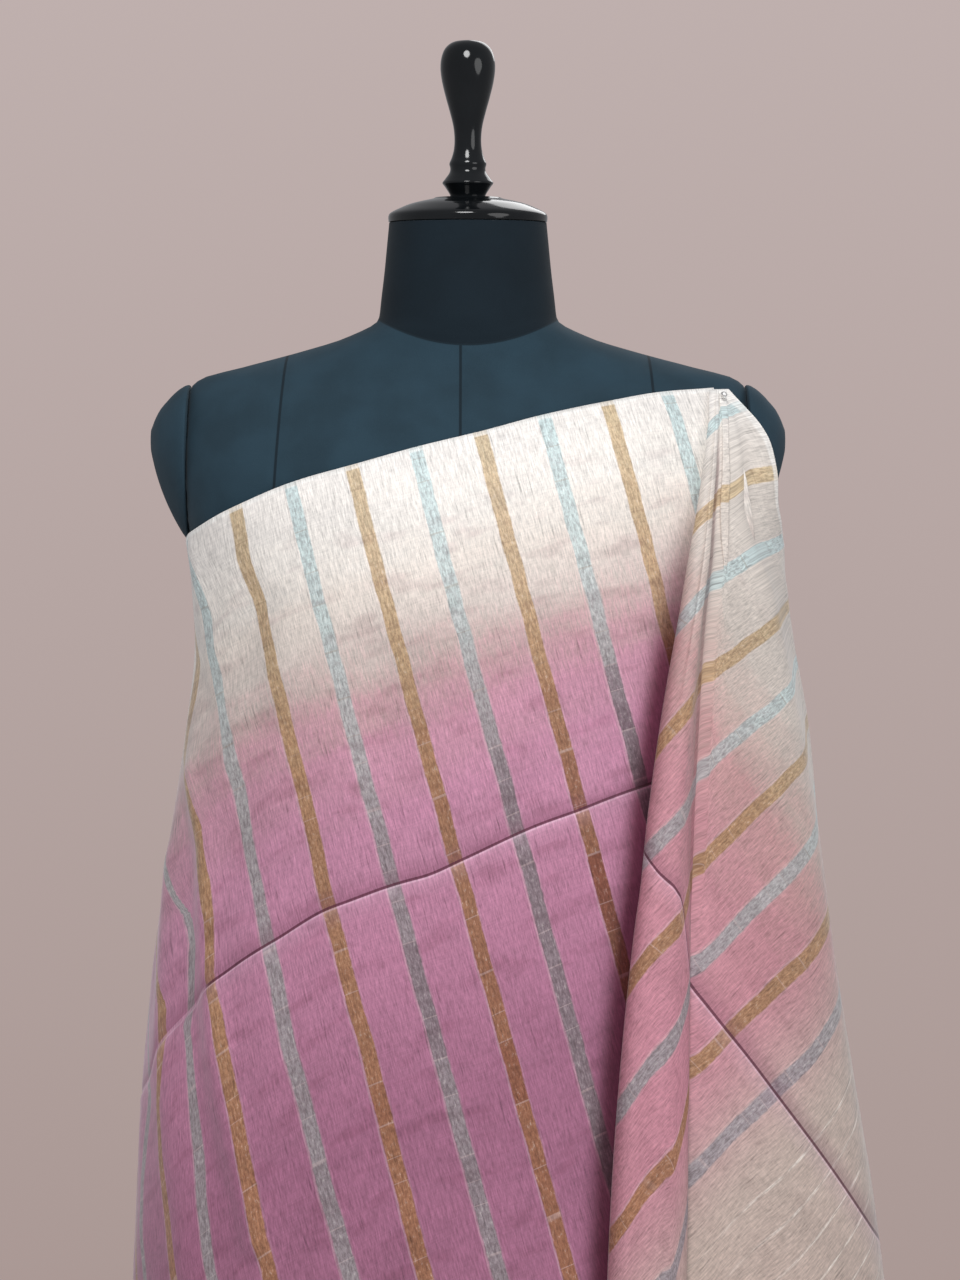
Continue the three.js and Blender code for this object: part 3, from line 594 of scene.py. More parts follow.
def shoulder_fall_grid():
    share = np.linspace(0, 1, FALL_ROWS) ** 1.2
    first_angle = FALL_SECTION[0][0]
    columns = []
    for angle, first, last, part, shift, layer, tuck_shift, tuck_layer, ripple in FALL_SECTION:
        top = PIN_HEIGHT - 1
        height = top - share * (top - FALL_BOTTOM("height", angle))
        places = fall_places(height)
        fullness = FALL_LINES("fullness", height)
        tucked = FALL_LINES("tucked", height)
        along = places[first] + (places[last] - places[first]) * part
        along = along + (shift + (tuck_shift - shift) * tucked) * fullness
        toward_edge = min(part / HUG_SHARE, 1) if first == "tuck" else 0
        hug = 1 - FALL_LINES("hug", height) * toward_edge
        layers = (layer + (tuck_layer - layer) * tucked) * fullness * hug
        out = FALL_LIFT + layers + ripple * FALL_LINES("ripple", height) + fold_relief(along, height)
        points = DRAPE_LEVELS.at(along, height, out)
        length, drop = fall_measures(max(angle, ROLL_ANGLE), height)
        inner = np.clip((ROLL_ANGLE - angle) / (ROLL_ANGLE - first_angle), 0, 1)
        length = length * (1 - 0.6 * inner)
        length = length + (PALLU_END - length[-1]) * share ** 6
        drop = drop * np.clip((EDGE_ANGLE - angle) / 18.5, 0, 1)
        # The last column is the painted shade that darkens the silk.
        columns.append(np.column_stack([points, length, drop, fall_painted_shade(angle, height)]))
    grid = refined(np.array(columns)).transpose(1, 0, 2)[::-1]
    return grid[..., :3], grid[..., 3], grid[..., 4], grid[..., 5]


def back_wrap_grid():
    share = np.linspace(1, 0, 221)[None, :]
    row = spread_values([(0, 1), (240, 0.8), (275, 1), (CLOTH_WIDTH, 1)], 9)[::-1][:, None]
    top, bottom = BACK_WRAP("top", share), BACK_WRAP("bottom", share)
    height = top - (top - bottom) * row / CLOTH_WIDTH
    total = BACK_LEVELS.length(height)
    seam = total - SEAM_GAP + straight_stripe(SWEEP_END_ALONG, height)
    along = seam + (BACK_WRAP_START - seam) * share
    inside = np.clip(row / 40, 0, 1) * np.clip(share / 0.1, 0, 1)
    out = fold_relief(along - total, height) + soft_waves(along, height, 8, out=0.5) * inside
    points = BACK_LEVELS.at(along, height, out)
    lengths = cloth_length(np.array(float(SWEEP_END_ALONG))) - share * BACK_WRAP_LENGTH + 0 * row
    return points, lengths, row + 0 * share


def skirt_wrap_grid():
    share = np.linspace(0, 1, 241)[None, :]
    height = np.linspace(SKIRT_HEM, SKIRT_TOP, 70)[:, None]
    along = share * SKIRT_LEVELS.length(height)
    out = soft_waves(along, height, 12, out=0.25) * np.sin(math.pi * share) ** 0.5
    points = SKIRT_LEVELS.at(along, height, out)
    lengths = FIRST_ROUND_START + share * FIRST_ROUND_LENGTH + 0 * height
    return points, lengths, CLOTH_WIDTH - (height - SKIRT_HEM) + 0 * share


def front_pleats_grid():
    height = np.linspace(SKIRT_HEM, PLEATS_TOP, 64)
    drop = CLOTH_WIDTH - (height - SKIRT_HEM)
    columns = []
    length = PLEATS_START
    before = None
    for pleat in range(PLEAT_COUNT):
        for place, layer in PLEAT_SECTION:
            spot = (PLEAT_LEFT + pleat * PLEAT_PITCH + place, layer)
            length += math.dist(spot, before) if before else 0
            before = spot
            along = spot[0] * PLEAT_SPREAD("spread", height)
            out = PLEAT_LIFT + layer * PLEAT_SPREAD("depth", height)
            points = SKIRT_LEVELS.at(along, height, out)
            columns.append(np.column_stack([points, np.full_like(height, length), drop]))
    grid = refined(np.array(columns), 6).transpose(1, 0, 2)
    return grid[..., :3], grid[..., 3], grid[..., 4]


def ring_body(name, rings):
    """Closed body through rings of points, lowest first, with capped ends."""
    rings = np.concatenate([rings, rings[:, :1]], axis=1)
    flat = np.zeros(rings.shape[:2])
    piece = cloth_grid(name, rings, flat, flat)
    piece.data.uv_layers.remove(piece.data.uv_layers[0])
    close_round(piece)
    select_only(piece)
    bpy.ops.object.mode_set(mode="EDIT")
    bpy.ops.mesh.select_all(action="SELECT")
    bpy.ops.mesh.fill_holes(sides=0)
    bpy.ops.mesh.select_all(action="SELECT")
    bpy.ops.mesh.normals_make_consistent(inside=False)
    bpy.ops.object.mode_set(mode="OBJECT")
    return piece


def smooth_profile(profile, steps):
    """Profile with extra points on a smooth curve between the given ones."""
    line = np.array(profile, float)
    found = []
    for i in range(len(line) - 1):
        before, after = line[max(i - 1, 0)], line[min(i + 2, len(line) - 1)]
        leaving, arriving = (line[i + 1] - before) / 2, (after - line[i]) / 2
        for t in np.arange(steps) / steps:
            found.append(eased(line[i], line[i + 1], leaving, arriving, t))
    return found + [line[-1]]


def turned_body(name, profile, sides):
    """Body turned from radius and height pairs in millimetres: a disc drawn up and scaled ring by ring."""
    radius, height = profile[0]
    bpy.ops.object.select_all(action="DESELECT")
    bpy.ops.mesh.primitive_circle_add(
        vertices=sides, radius=radius / 1000, fill_type="NGON", location=(0, 0, height / 1000))
    piece = bpy.context.object
    piece.name = name
    piece.data.name = name
    bpy.ops.object.transform_apply(location=True, rotation=False, scale=False)
    bpy.ops.object.mode_set(mode="EDIT")
    bpy.ops.mesh.select_all(action="SELECT")
    for (r0, h0), (r1, h1) in zip(profile[:-1], profile[1:]):
        bpy.ops.mesh.extrude_region_move(TRANSFORM_OT_translate={"value": (0, 0, (h1 - h0) / 1000)})
        scale = r1 / r0
        bpy.ops.transform.resize(value=(scale, scale, 1), center_override=(0, 0, h1 / 1000))
    bpy.ops.mesh.select_all(action="SELECT")
    bpy.ops.mesh.normals_make_consistent(inside=False)
    bpy.ops.object.mode_set(mode="OBJECT")
    bpy.ops.object.shade_smooth_by_angle(angle=math.radians(50))
    return piece


def linear(colour):
    """Colour from 0 to 255 as seen on a screen, as the shader's own numbers."""
    c = np.array(colour[:3], float) / 255
    return tuple(np.where(c <= 0.04045, c / 12.92, ((c + 0.055) / 1.055) ** 2.4)) + (1.0,)


class Finish:
    """A material whose nodes are added one by one."""

    def __init__(self, name, roughness, **sockets):
        self.material = bpy.data.materials.new(name)
        self.material.use_nodes = True
        self.nodes = self.material.node_tree.nodes
        self.links = self.material.node_tree.links
        self.shader = self.nodes["Principled BSDF"]
        self.shader.inputs["Roughness"].default_value = roughness
        for socket, value in sockets.items():
            self.shader.inputs[socket.replace("_", " ").title().replace("Ior", "IOR")].default_value = value

    def put(self, socket, value):
        if isinstance(value, bpy.types.NodeSocket):
            self.links.new(value, socket)
        else:
            socket.default_value = value

    def node(self, kind, inputs=(), output=0, **settings):
        node = self.nodes.new("ShaderNode" + kind)
        for name, value in settings.items():
            setattr(node, name, value)
        for key, value in dict(inputs).items():
            self.put(node.inputs[key], value)
        return node.outputs[output]

    def math(self, operation, *values, clamp=False):
        return self.node("Math", enumerate(values), operation=operation, use_clamp=clamp)

    def add(self, first, second):
        return self.math("ADD", first, second)

    def less(self, first, second):
        return self.math("SUBTRACT", first, second)

    def times(self, first, second):
        return self.math("MULTIPLY", first, second)

    def absolute(self, value):
        return self.math("ABSOLUTE", value)

    def total(self, *parts):
        """Sum of values, each times its share."""
        found = self.times(*parts[0])
        for value, share in parts[1:]:
            found = self.add(found, self.times(value, share))
        return found

    def mix(self, factor, first, second, blend="MIX"):
        return self.node("Mix", {0: factor, 6: first, 7: second}, 2, data_type="RGBA", blend_type=blend)

    def paint(self, factor, ground, seen):
        """Ground covered by a colour from 0 to 255 as seen on a screen."""
        return self.mix(factor, ground, linear(seen))

    def glaze(self, factor, ground, seen):
        """Ground darkened by a colour from 0 to 255 as seen on a screen."""
        return self.mix(factor, ground, self.mix(1.0, ground, linear(seen), "MULTIPLY"))

    def step(self, value, low, high, to_low=0.0, to_high=1.0):
        inputs = {0: value, 1: low, 2: high, 3: to_low, 4: to_high}
        return self.node("MapRange", inputs, interpolation_type="SMOOTHSTEP")

    def spot(self, x, y, z=0.0):
        return self.node("CombineXYZ", {0: x, 1: y, 2: z})

    def noise(self, vector, scale=1.0, detail=2.0, roughness=0.5):
        inputs = {"Vector": vector, "Scale": scale, "Detail": detail, "Roughness": roughness}
        return self.node("TexNoise", inputs)

    def split(self, vector):
        node = self.nodes.new("ShaderNodeSeparateXYZ")
        self.links.new(vector, node.inputs[0])
        return tuple(node.outputs)

    def ramp(self, value, stops):
        node = self.nodes.new("ShaderNodeValToRGB")
        self.links.new(value, node.inputs[0])
        marks = node.color_ramp.elements
        while len(marks) < len(stops):
            marks.new(0.5)
        for mark, (place, colour) in zip(marks, stops):
            mark.position = place
            mark.color = linear(colour)
        return node.outputs[0]

    def bump(self, height, strength, distance):
        bump = self.node("Bump", {"Height": height, "Strength": strength, "Distance": distance})
        self.links.new(bump, self.shader.inputs["Normal"])

    def colour(self, value):
        self.put(self.shader.inputs["Base Color"], value)


# Ground of the silk by its depth from the nearer selvedge, of 0 to 400 mm
CREAM_RAMP = [
    (0, (240, 235, 230)), (0.12, (236, 230, 223)), (0.2, (229, 219, 210)), (0.27, (215, 201, 194)),
    (0.31, (207, 184, 180)), (0.36, (201, 161, 167)), (0.42, (199, 147, 165)), (0.55, (196, 138, 165)),
    (0.75, (188, 128, 156)), (1, (166, 108, 136)),
]
ROSE_RAMP = [
    (0, (218, 210, 202)), (0.2, (214, 203, 194)), (0.28, (206, 184, 176)), (0.38, (198, 154, 154)),
    (0.5, (198, 142, 151)), (0.8, (202, 139, 154)), (1, (196, 136, 150)),
]
PALLU_RAMP = [(0, (206, 194, 184)), (0.3, (202, 186, 176)), (0.6, (198, 180, 170)), (1, (194, 174, 164))]
RAMP_DEPTH = 400.0

# Stripe threads by the same depth, and where they are dark
GOLD_RAMP = [(0, (217, 197, 163)), (0.25, (205, 177, 142)), (0.42, (189, 150, 115)), (1, (177, 127, 97))]
GOLD_DARK = (138, 84, 66)
SILVER_RAMP = [
    (0, (210, 228, 228)), (0.22, (204, 216, 214)), (0.36, (188, 186, 186)), (0.6, (176, 166, 170)),
    (1, (168, 158, 162)),
]
SILVER_DARK = (118, 92, 104)
STRIPE_BLOCK = 31.0
END_LINE_PITCH = 20.5


class SilkFinish(Finish):
    """Silk painted by its cloth measures: u along it from the pin, v down from its upper selvedge, in mm."""

    def __init__(self, name):
        super().__init__(name, 0.5, sheen_weight=0.25, sheen_roughness=0.4, specular_ior_level=0.35)
        along, down, _ = self.split(self.node("UVMap", uv_map="Cloth"))
        self.u, self.v = self.times(along, 1000.0), self.times(down, 1000.0)
        self.streaks = self.weave(0.85, 0.075, detail=3, roughness=0.6)
        self.threads = self.weave(1.3, 0.22, 7.0)
        self.slubs = self.weave(0.11, 1.1, 3.0)
        self.bands = self.weave(0.010, 0.06, 5.0)
        self.clouds = self.weave(0.022, 0.018, 9.0)
        self.inward = self.math("MINIMUM", self.v, self.less(float(CLOTH_WIDTH), self.v))
        uneven = self.add(self.less(self.streaks, 0.5), self.less(self.bands, 0.5))
        ragged = self.add(self.inward, self.times(uneven, 46.0))
        self.depth = self.math("DIVIDE", ragged, RAMP_DEPTH, clamp=True)

    def weave(self, across, along, seed=0.0, detail=2, roughness=0.5):
        """Noise with its own scale across and along the threads."""
        spot = self.spot(self.times(self.u, across), self.times(self.v, along), seed)
        return self.noise(spot, detail=detail, roughness=roughness)


def silk_ground(f):
    """Cream to mauve on the body, cream to rose on the fall, and the plain end piece."""
    body, rose, pallu = (f.ramp(f.depth, stops) for stops in (CREAM_RAMP, ROSE_RAMP, PALLU_RAMP))
    ground = f.mix(f.step(f.u, 20.0, 90.0), body, rose)
    return f.mix(f.step(f.u, 330.0, 420.0), ground, pallu)


def stripe_tone(f, index):
    """Colour of the gold or silver threads, darker deep down the cloth and block by block."""
    drift = f.noise(f.spot(f.times(index, 3.1), f.times(f.v, 0.012)), detail=1)
    blocks = f.add(f.add(f.math("DIVIDE", f.v, STRIPE_BLOCK), f.times(index, 0.37)), f.times(drift, 4.0))
    chance = f.node("TexWhiteNoise", {"Vector": f.spot(index, f.math("FLOOR", blocks), 1.0)})
    toward_pin = f.times(f.step(f.u, -430.0, -120.0, 0.1, 1.0), f.step(f.u, 0.0, 60.0, 1.0, 0.12))
    aged = f.times(f.step(f.depth, 0.3, 0.6), toward_pin)
    old_block = f.times(f.step(chance, 0.72, 0.8), aged)
    dark = f.total((aged, 0.68), (f.step(chance, 0.3, 0.8), 0.06), (old_block, 0.35))
    gold = f.paint(dark, f.ramp(f.depth, GOLD_RAMP), GOLD_DARK)
    silver = f.paint(dark, f.ramp(f.depth, SILVER_RAMP), SILVER_DARK)
    tone = f.mix(f.absolute(f.math("MODULO", index, 2.0)), gold, silver)
    fleck = f.weave(0.6, 0.22, 12.0, detail=3, roughness=0.7)
    tone = f.glaze(f.step(fleck, 0.56, 0.38, 0.0, 0.5), tone, (176, 162, 164))
    tone = f.paint(f.step(fleck, 0.56, 0.72, 0.0, 0.3), tone, (240, 230, 224))
    return tone, f.math("FRACT", blocks)


def silk_stripes(f, settings, ground):
    """Stripes along the weft, gold and silver by turns, with pale borders and thin lines across."""
    pitch = settings.stripe_pitch * 1000
    half = settings.stripe_width * 500
    wander = f.weave(0.0, 0.03, 2.0, detail=1)
    turn = f.math("DIVIDE", f.add(f.u, f.less(f.times(wander, 2.4), 6.2)), pitch)
    index = f.math("ROUND", turn)
    side = f.times(f.less(turn, index), pitch)
    distance = f.absolute(side)
    worn = f.add(distance, f.times(f.less(f.threads, 0.5), 1.2))
    before_end = f.step(f.u, END_PIECE, END_PIECE - 10)
    on_stripe = f.times(f.step(worn, half + 0.5, half - 0.5), before_end)
    tone, within = stripe_tone(f, index)
    painted = f.mix(on_stripe, ground, tone)
    cross = f.times(f.step(within, 0.042, 0.02), on_stripe)
    cross_tone = f.mix(f.step(f.depth, 0.35, 0.5), linear((150, 124, 100)), linear((222, 198, 196)))
    painted = f.mix(f.times(cross, 0.3), painted, cross_tone)
    border = f.times(f.step(distance, half - 0.1, half + 0.3), f.step(distance, half + 1.5, half + 0.9))
    border = f.times(f.times(border, before_end), f.step(side, -1.0, 1.0, 0.16, 0.06))
    return f.paint(border, painted, (240, 226, 222))


def silk_end_lines(f, painted):
    """Thin pale lines across the end piece."""
    line = f.absolute(f.less(f.math("FRACT", f.math("DIVIDE", f.u, END_LINE_PITCH)), 0.5))
    line = f.times(f.step(line, 0.05, 0.02), f.step(f.u, END_PIECE, END_PIECE + 12))
    line = f.times(line, f.times(f.step(f.streaks, 0.35, 0.6), f.step(f.v, 370.0, 280.0, 0.15, 1.0)))
    return f.paint(f.times(line, 0.55), painted, (244, 238, 230))


def silk_crease(f, painted):
    """Storage crease: painted shade above it, a dark line of painted shade that is pale at the left side, and
    painted light below it.
    """
    below = f.less(f.v, float(STORAGE_CREASE))
    # Painted shade above the crease.
    shade = f.times(f.step(below, -16.0, 0.0), f.step(below, 0.4, 0.0))
    painted = f.paint(f.times(shade, 0.34), painted, (124, 66, 92))
    # Painted shade along the crease line, pale at the left side.
    line = f.step(f.absolute(below), 1.2, 0.7)
    at_left = f.step(f.u, -412.0, -436.0)
    line_tone = f.mix(at_left, linear((90, 36, 58)), linear((222, 172, 196)))
    painted = f.mix(f.times(line, f.step(at_left, 0.0, 1.0, 0.85, 0.5)), painted, line_tone)
    # Painted light on the lip below the crease, then a softer painted glow further down.
    lip = f.times(f.step(below, 0.8, 1.2), f.step(below, 2.6, 1.4))
    painted = f.paint(f.times(lip, 0.45), painted, (240, 204, 222))
    glow = f.times(f.step(below, 1.0, 2.0), f.step(below, 16.0, 2.0))
    return f.paint(f.times(glow, 0.12), painted, (236, 196, 216))


def silk_threads(f, painted):
    """Light and dark threads, slubs and thin dark slivers, with soft painted shade in bands and clouds."""
    # Bands and clouds: soft painted shade of the cloth's small undulations.
    light = f.total((f.streaks, 1.0), (f.threads, 0.75), (f.slubs, 0.3), (f.add(f.bands, f.clouds), 0.2))
    slivers = f.step(f.weave(0.62, 0.035, 31.0, detail=1), 0.64, 0.76, 0.0, 0.26)
    light = f.less(f.less(light, 0.225), slivers)
    return f.mix(1.0, painted, f.spot(light, light, light), "MULTIPLY")


def silk(name, settings):
    """Woven silk shaded cream to mauve and rose, with gold and silver stripes, slubs and a storage crease,
    and painted shade and light at the crease, in soft patches and in the drape's valleys.
    """
    f = SilkFinish(name)
    painted = silk_stripes(f, settings, silk_ground(f))
    painted = silk_crease(f, silk_end_lines(f, painted))
    selvedge = f.step(f.inward, 3.6, 2.4)
    painted = silk_threads(f, f.paint(f.times(selvedge, 0.6), painted, (248, 246, 242)))
    # Painted shade: soft grey patches long along the cloth from its small undulations, none at the upper
    # selvedge and fainter on the fall.
    shade_patch = f.weave(0.028, 0.075, 21.0)
    shade_patch = f.times(f.step(shade_patch, 0.5, 0.72), f.step(f.v, 8.0, 60.0))
    shade_patch = f.times(shade_patch, f.step(f.u, 0.0, 60.0, 1.0, 0.35))
    painted = f.glaze(f.times(shade_patch, 0.4), painted, (206, 190, 194))
    # Painted shade: the silk darkened in the drape's valleys and beside the fall's roll, by the attribute set
    # on the sheets.
    painted_shade = f.node("Attribute", output=2, attribute_name="PaintedShade")
    f.colour(f.glaze(painted_shade, painted, (150, 108, 124)))
    f.bump(f.total((f.streaks, 0.8), (f.threads, 0.6), (f.slubs, 0.4)), 0.35, 0.0005)
    return f.material


def jersey_seams(f, place, colour, height):
    """Drawn seams at the neck, the front middle and the side fronts, and painted shade on the neck above the
    neck seam.
    """
    x, y, z = f.split(place)
    sideways = f.absolute(x)
    front = f.step(y, 0.004, -0.004)
    neck_line = f.add(NECK_SEAM_FRONT, f.times(f.math("POWER", sideways, 2.0), 4.7))
    neck_line = f.add(f.times(f.less(neck_line, NECK_SEAM_BACK), front), NECK_SEAM_BACK)
    above = f.step(z, neck_line, f.add(neck_line, 0.001))
    neck = f.absolute(f.less(z, neck_line))
    middle = f.add(f.absolute(f.add(x, FRONT_SEAM_SIDE)), above)
    panel_line = f.add(PANEL_SEAM_SIDE, f.times(f.less(PANEL_SEAM_HEIGHT, z), 0.05))
    panel = f.absolute(f.less(sideways, panel_line))
    nearest = f.math("MINIMUM", f.math("MINIMUM", neck, middle), panel)
    seam = f.step(nearest, 0.0013, 0.0005)
    # Painted shade: the neck above the neck seam darkened.
    colour = f.mix(f.times(above, 0.75), colour, (0.002, 0.004, 0.007, 1.0))
    colour = f.mix(f.times(seam, 0.75), colour, (0.004, 0.008, 0.012, 1.0))
    return colour, f.less(height, f.times(f.step(nearest, 0.006, 0.0), 2.0))


def jersey(name, settings, seams):
    """Fine dark jersey, with darker drawn seams and painted shade on the neck where asked."""
    f = Finish(name, 0.86, sheen_weight=0.04, sheen_roughness=0.5, specular_ior_level=0.2)
    place = f.node("TexCoord", output=3)
    knit = f.noise(place, scale=1500.0, detail=2)
    soft = f.noise(place, scale=26.0, detail=3)
    base = tuple(settings.jersey_colour) + (1.0,)
    dark = tuple(c * 0.72 for c in settings.jersey_colour) + (1.0,)
    colour = f.mix(f.step(soft, 0.3, 0.7), dark, base)
    colour = f.mix(f.times(knit, 0.2), colour, (0.06, 0.11, 0.14, 1.0))
    height = f.times(knit, 0.4)
    if seams:
        colour, height = jersey_seams(f, place, colour, height)
    f.colour(colour)
    f.bump(height, 0.5, 0.0004)
    return f.material


def hard_finish(name, colour, roughness, **sockets):
    """Lacquer or metal with a little uneven wear."""
    f = Finish(name, roughness, **sockets)
    place = f.node("TexCoord", output=3)
    haze = f.noise(place, scale=34.0, detail=4)
    grain = f.noise(place, scale=420.0, detail=2)
    worn = tuple(min(c * 1.4 + 0.001, 1) for c in colour) + (1.0,)
    f.colour(f.mix(f.step(haze, 0.35, 0.75), tuple(colour) + (1.0,), worn))
    f.put(f.shader.inputs["Roughness"], f.step(haze, 0.3, 0.8, roughness * 0.85, roughness * 1.2))
    f.bump(grain, 0.08, 0.0002)
    return f.material


class SareeClothSettings(bpy.types.PropertyGroup):
    thickness: FloatProperty(
        name="Cloth thickness", description="Thickness of the silk as modelled", default=0.0008,
        min=0.0002, max=0.0012, subtype="DISTANCE", unit="LENGTH")
    stripe_pitch: FloatProperty(
        name="Stripe pitch", description="Distance between neighbouring stripes along the cloth",
        default=STRIPE_PITCH / 1000, min=0.01, max=0.2, subtype="DISTANCE", unit="LENGTH")
    stripe_width: FloatProperty(
        name="Stripe width", description="Width of one stripe", default=0.009, min=0.001, max=0.02,
        subtype="DISTANCE", unit="LENGTH")


class SareeFormSettings(bpy.types.PropertyGroup):
    jersey_colour: FloatVectorProperty(
        name="Jersey colour", description="Colour of the dress form's cover", default=(0.018, 0.043, 0.064),
        min=0, max=1, size=3, subtype="COLOR")
    gloss_colour: FloatVectorProperty(
        name="Lacquer colour", description="Colour of the neck cap and finial",
        default=(0.004, 0.005, 0.006), min=0, max=1, size=3, subtype="COLOR")
    sides: IntProperty(name="Form sides", description="Points round the torso", default=112, min=32, max=200)


class SareeStageSettings(bpy.types.PropertyGroup):
    backdrop_colour: FloatVectorProperty(
        name="Backdrop colour", description="Colour of the space round the part",
        default=(0.54, 0.455, 0.445), min=0, max=1, size=3, subtype="COLOR")
    key_power: FloatProperty(
        name="Key light", description="Power of the large light above the front", default=36.0, min=0,
        max=500, unit="POWER")


def studio_floor(context):
    bpy.ops.object.select_all(action="DESELECT")
    bpy.ops.mesh.primitive_circle_add(vertices=96, radius=2.15, fill_type="NGON", location=(0, 0, 0))
    floor = context.object
    floor.name = "studio_floor"
    f = Finish("pale_floor", 0.7)
    haze = f.noise(f.node("TexCoord", output=3), scale=3.0, detail=4)
    f.colour(f.mix(haze, (0.68, 0.63, 0.61, 1.0), (0.74, 0.69, 0.67, 1.0)))
    floor.data.materials.append(f.material)
    return floor


def studio_world(wall):
    """Backdrop for the camera, darker low down, and a soft pale sky that lights the part."""
    world = bpy.data.worlds.new("studio")
    world.use_nodes = True
    nodes, links = world.node_tree.nodes, world.node_tree.links
    split = nodes.new("ShaderNodeSeparateXYZ")
    links.new(nodes.new("ShaderNodeTexCoord").outputs["Generated"], split.inputs[0])
    reach = nodes.new("ShaderNodeMapRange")
    links.new(split.outputs[2], reach.inputs[0])
    reach.inputs[1].default_value, reach.inputs[2].default_value = -0.35, 0.25
    ramp = nodes.new("ShaderNodeValToRGB")
    links.new(reach.outputs[0], ramp.inputs[0])
    low, high = ramp.color_ramp.elements
    low.color = tuple(wall * (0.73, 0.677, 0.652)) + (1.0,)
    high.color = tuple(wall * 1.03) + (1.0,)
    seen, shining = nodes["Background"], nodes.new("ShaderNodeBackground")
    links.new(ramp.outputs[0], seen.inputs[0])
    shining.inputs[0].default_value = (0.80, 0.80, 0.83, 1.0)
    shining.inputs[1].default_value = 0.42
    both = nodes.new("ShaderNodeMixShader")
    links.new(nodes.new("ShaderNodeLightPath").outputs["Is Camera Ray"], both.inputs[0])
    links.new(shining.outputs[0], both.inputs[1])
    links.new(seen.outputs[0], both.inputs[2])
    links.new(both.outputs[0], nodes["World Output"].inputs[0])
    return world


def studio_light(name, place, size, power):
    """Round soft light aimed at the middle of the part."""
    bpy.ops.object.light_add(type="AREA", location=place)
    light = bpy.context.object
    light.name = name
    light.data.shape = "DISK"
    light.data.size = size
    light.data.energy = power
    aim = np.array([0, 0, 1.15]) - np.array(place)
    light.rotation_euler = (math.atan2(math.hypot(aim[0], aim[1]), -aim[2]), 0, math.atan2(-aim[0], aim[1]))


class SAREE_OT_stage(bpy.types.Operator):
    """Add the floor, the lights, the backdrop colour and the camera"""

    bl_idname = "saree.stage"
    bl_label = "Stage"

    def execute(self, context):
        settings = context.scene.saree_stage
        studio_floor(context)
        context.scene.world = studio_world(np.array(settings.backdrop_colour))
        studio_light("key_light", (-0.15, -1.8, 2.9), 0.9, settings.key_power)
        studio_light("fill_light", (2.2, -2.2, 1.9), 1.8, settings.key_power * 0.6)
        studio_light("back_light", (0.9, 2.5, 2.8), 1.8, settings.key_power * 0.45)
        bpy.ops.object.camera_add(location=(0.008, -1.8954, 1.4275), rotation=(math.radians(84), 0, 0))
        camera = context.object
        camera.name = "studio_camera"
        camera.data.lens = 80
        camera.data.sensor_width = 36
        context.scene.camera = camera
        context.scene.view_settings.view_transform = "Standard"
        return {"FINISHED"}


def torso_rings(sides):
    """Rings of points round the torso and neck, cut flat at the armholes."""
    heights = [*range(780, 1290, 9), *range(1290, 1446, 3), *range(1446, 1506, 6), 1505]
    heights = np.unique(heights).astype(float)
    angles = np.linspace(0, 2 * math.pi, sides, endpoint=False)[None, :]
    size = {name: value[:, None] for name, value in form_sizes(heights).items()}
    x, y = outline(size, angles)
    z = np.broadcast_to(heights[:, None], x.shape)
    flat = np.clip((z - ARMHOLE_LOW) / 8, 0, 1) * np.clip((ARMHOLE_HIGH - z) / 6, 0, 1)
    x = x * (1 - flat) + np.clip(x, -ARMHOLE_SIDE, ARMHOLE_SIDE) * flat
    return np.stack([x, y, z], axis=-1)


def arm_cap_rings(side, points=48):
    """Rings of points over one arm cap, from the armhole outwards."""
    angles = np.linspace(0, 2 * math.pi, points, endpoint=False)
    profile = smooth_profile([(share, bulge) for share, bulge, _ in CAP_RINGS], 4)
    places = np.linspace(0, len(CAP_RINGS) - 1, len(profile))
    rises = np.interp(places, range(len(CAP_RINGS)), [rise for _, _, rise in CAP_RINGS])
    found = []
    for (share, bulge), rise in zip(profile, rises):
        found.append(np.stack([
            np.full(points, side * (ARMHOLE_SIDE + bulge)),
            CAP_HALF_DEPTH * share * np.cos(angles),
            CAP_MIDDLE + rise + CAP_HALF_HEIGHT * share * np.sin(angles),
        ], axis=-1))
    return np.array(found)


class SAREE_OT_torso(bpy.types.Operator):
    """Add the padded torso and its two arm caps"""

    bl_idname = "saree.torso"
    bl_label = "Torso and arm caps"

    def execute(self, context):
        settings = context.scene.saree_form
        torso = ring_body("torso_cover", torso_rings(settings.sides))
        bpy.ops.object.shade_smooth_by_angle(angle=math.radians(40))
        belongs(torso, ["form_torso"], jersey("jersey_torso", settings, True))
        cover = jersey("jersey_caps", settings, False)
        for side, name in ((1, "left"), (-1, "right")):
            cap = ring_body("arm_cap_" + name, arm_cap_rings(side))
            bpy.ops.object.shade_smooth_by_angle(angle=math.radians(60))
            belongs(cap, ["form_arm_cap_" + name], cover)
        return {"FINISHED"}


class SAREE_OT_stand(bpy.types.Operator):
    """Add the turned neck cap, finial, pole and base"""

    bl_idname = "saree.stand"
    bl_label = "Turned parts"

    def execute(self, context):
        settings = context.scene.saree_form
        gloss = hard_finish("black_lacquer", settings.gloss_colour, 0.1, specular_ior_level=0.36)
        metal = hard_finish("dark_metal", (0.06, 0.06, 0.065), 0.34, metallic=0.9)
        for name, profile, sides, slot, finish, steps in (
            ("neck_cap", NECK_CAP, 72, "gloss_cap", gloss, 3),
            ("finial", FINIAL, 48, "gloss_cap", gloss, 4),
            ("pole", POLE, 40, "stand_metal", metal, 1),
            ("base", BASE, 96, "stand_metal", metal, 2),
        ):
            piece = turned_body("stand_" + name, smooth_profile(profile, steps), sides)
            belongs(piece, ["form_" + name], finish)
        return {"FINISHED"}


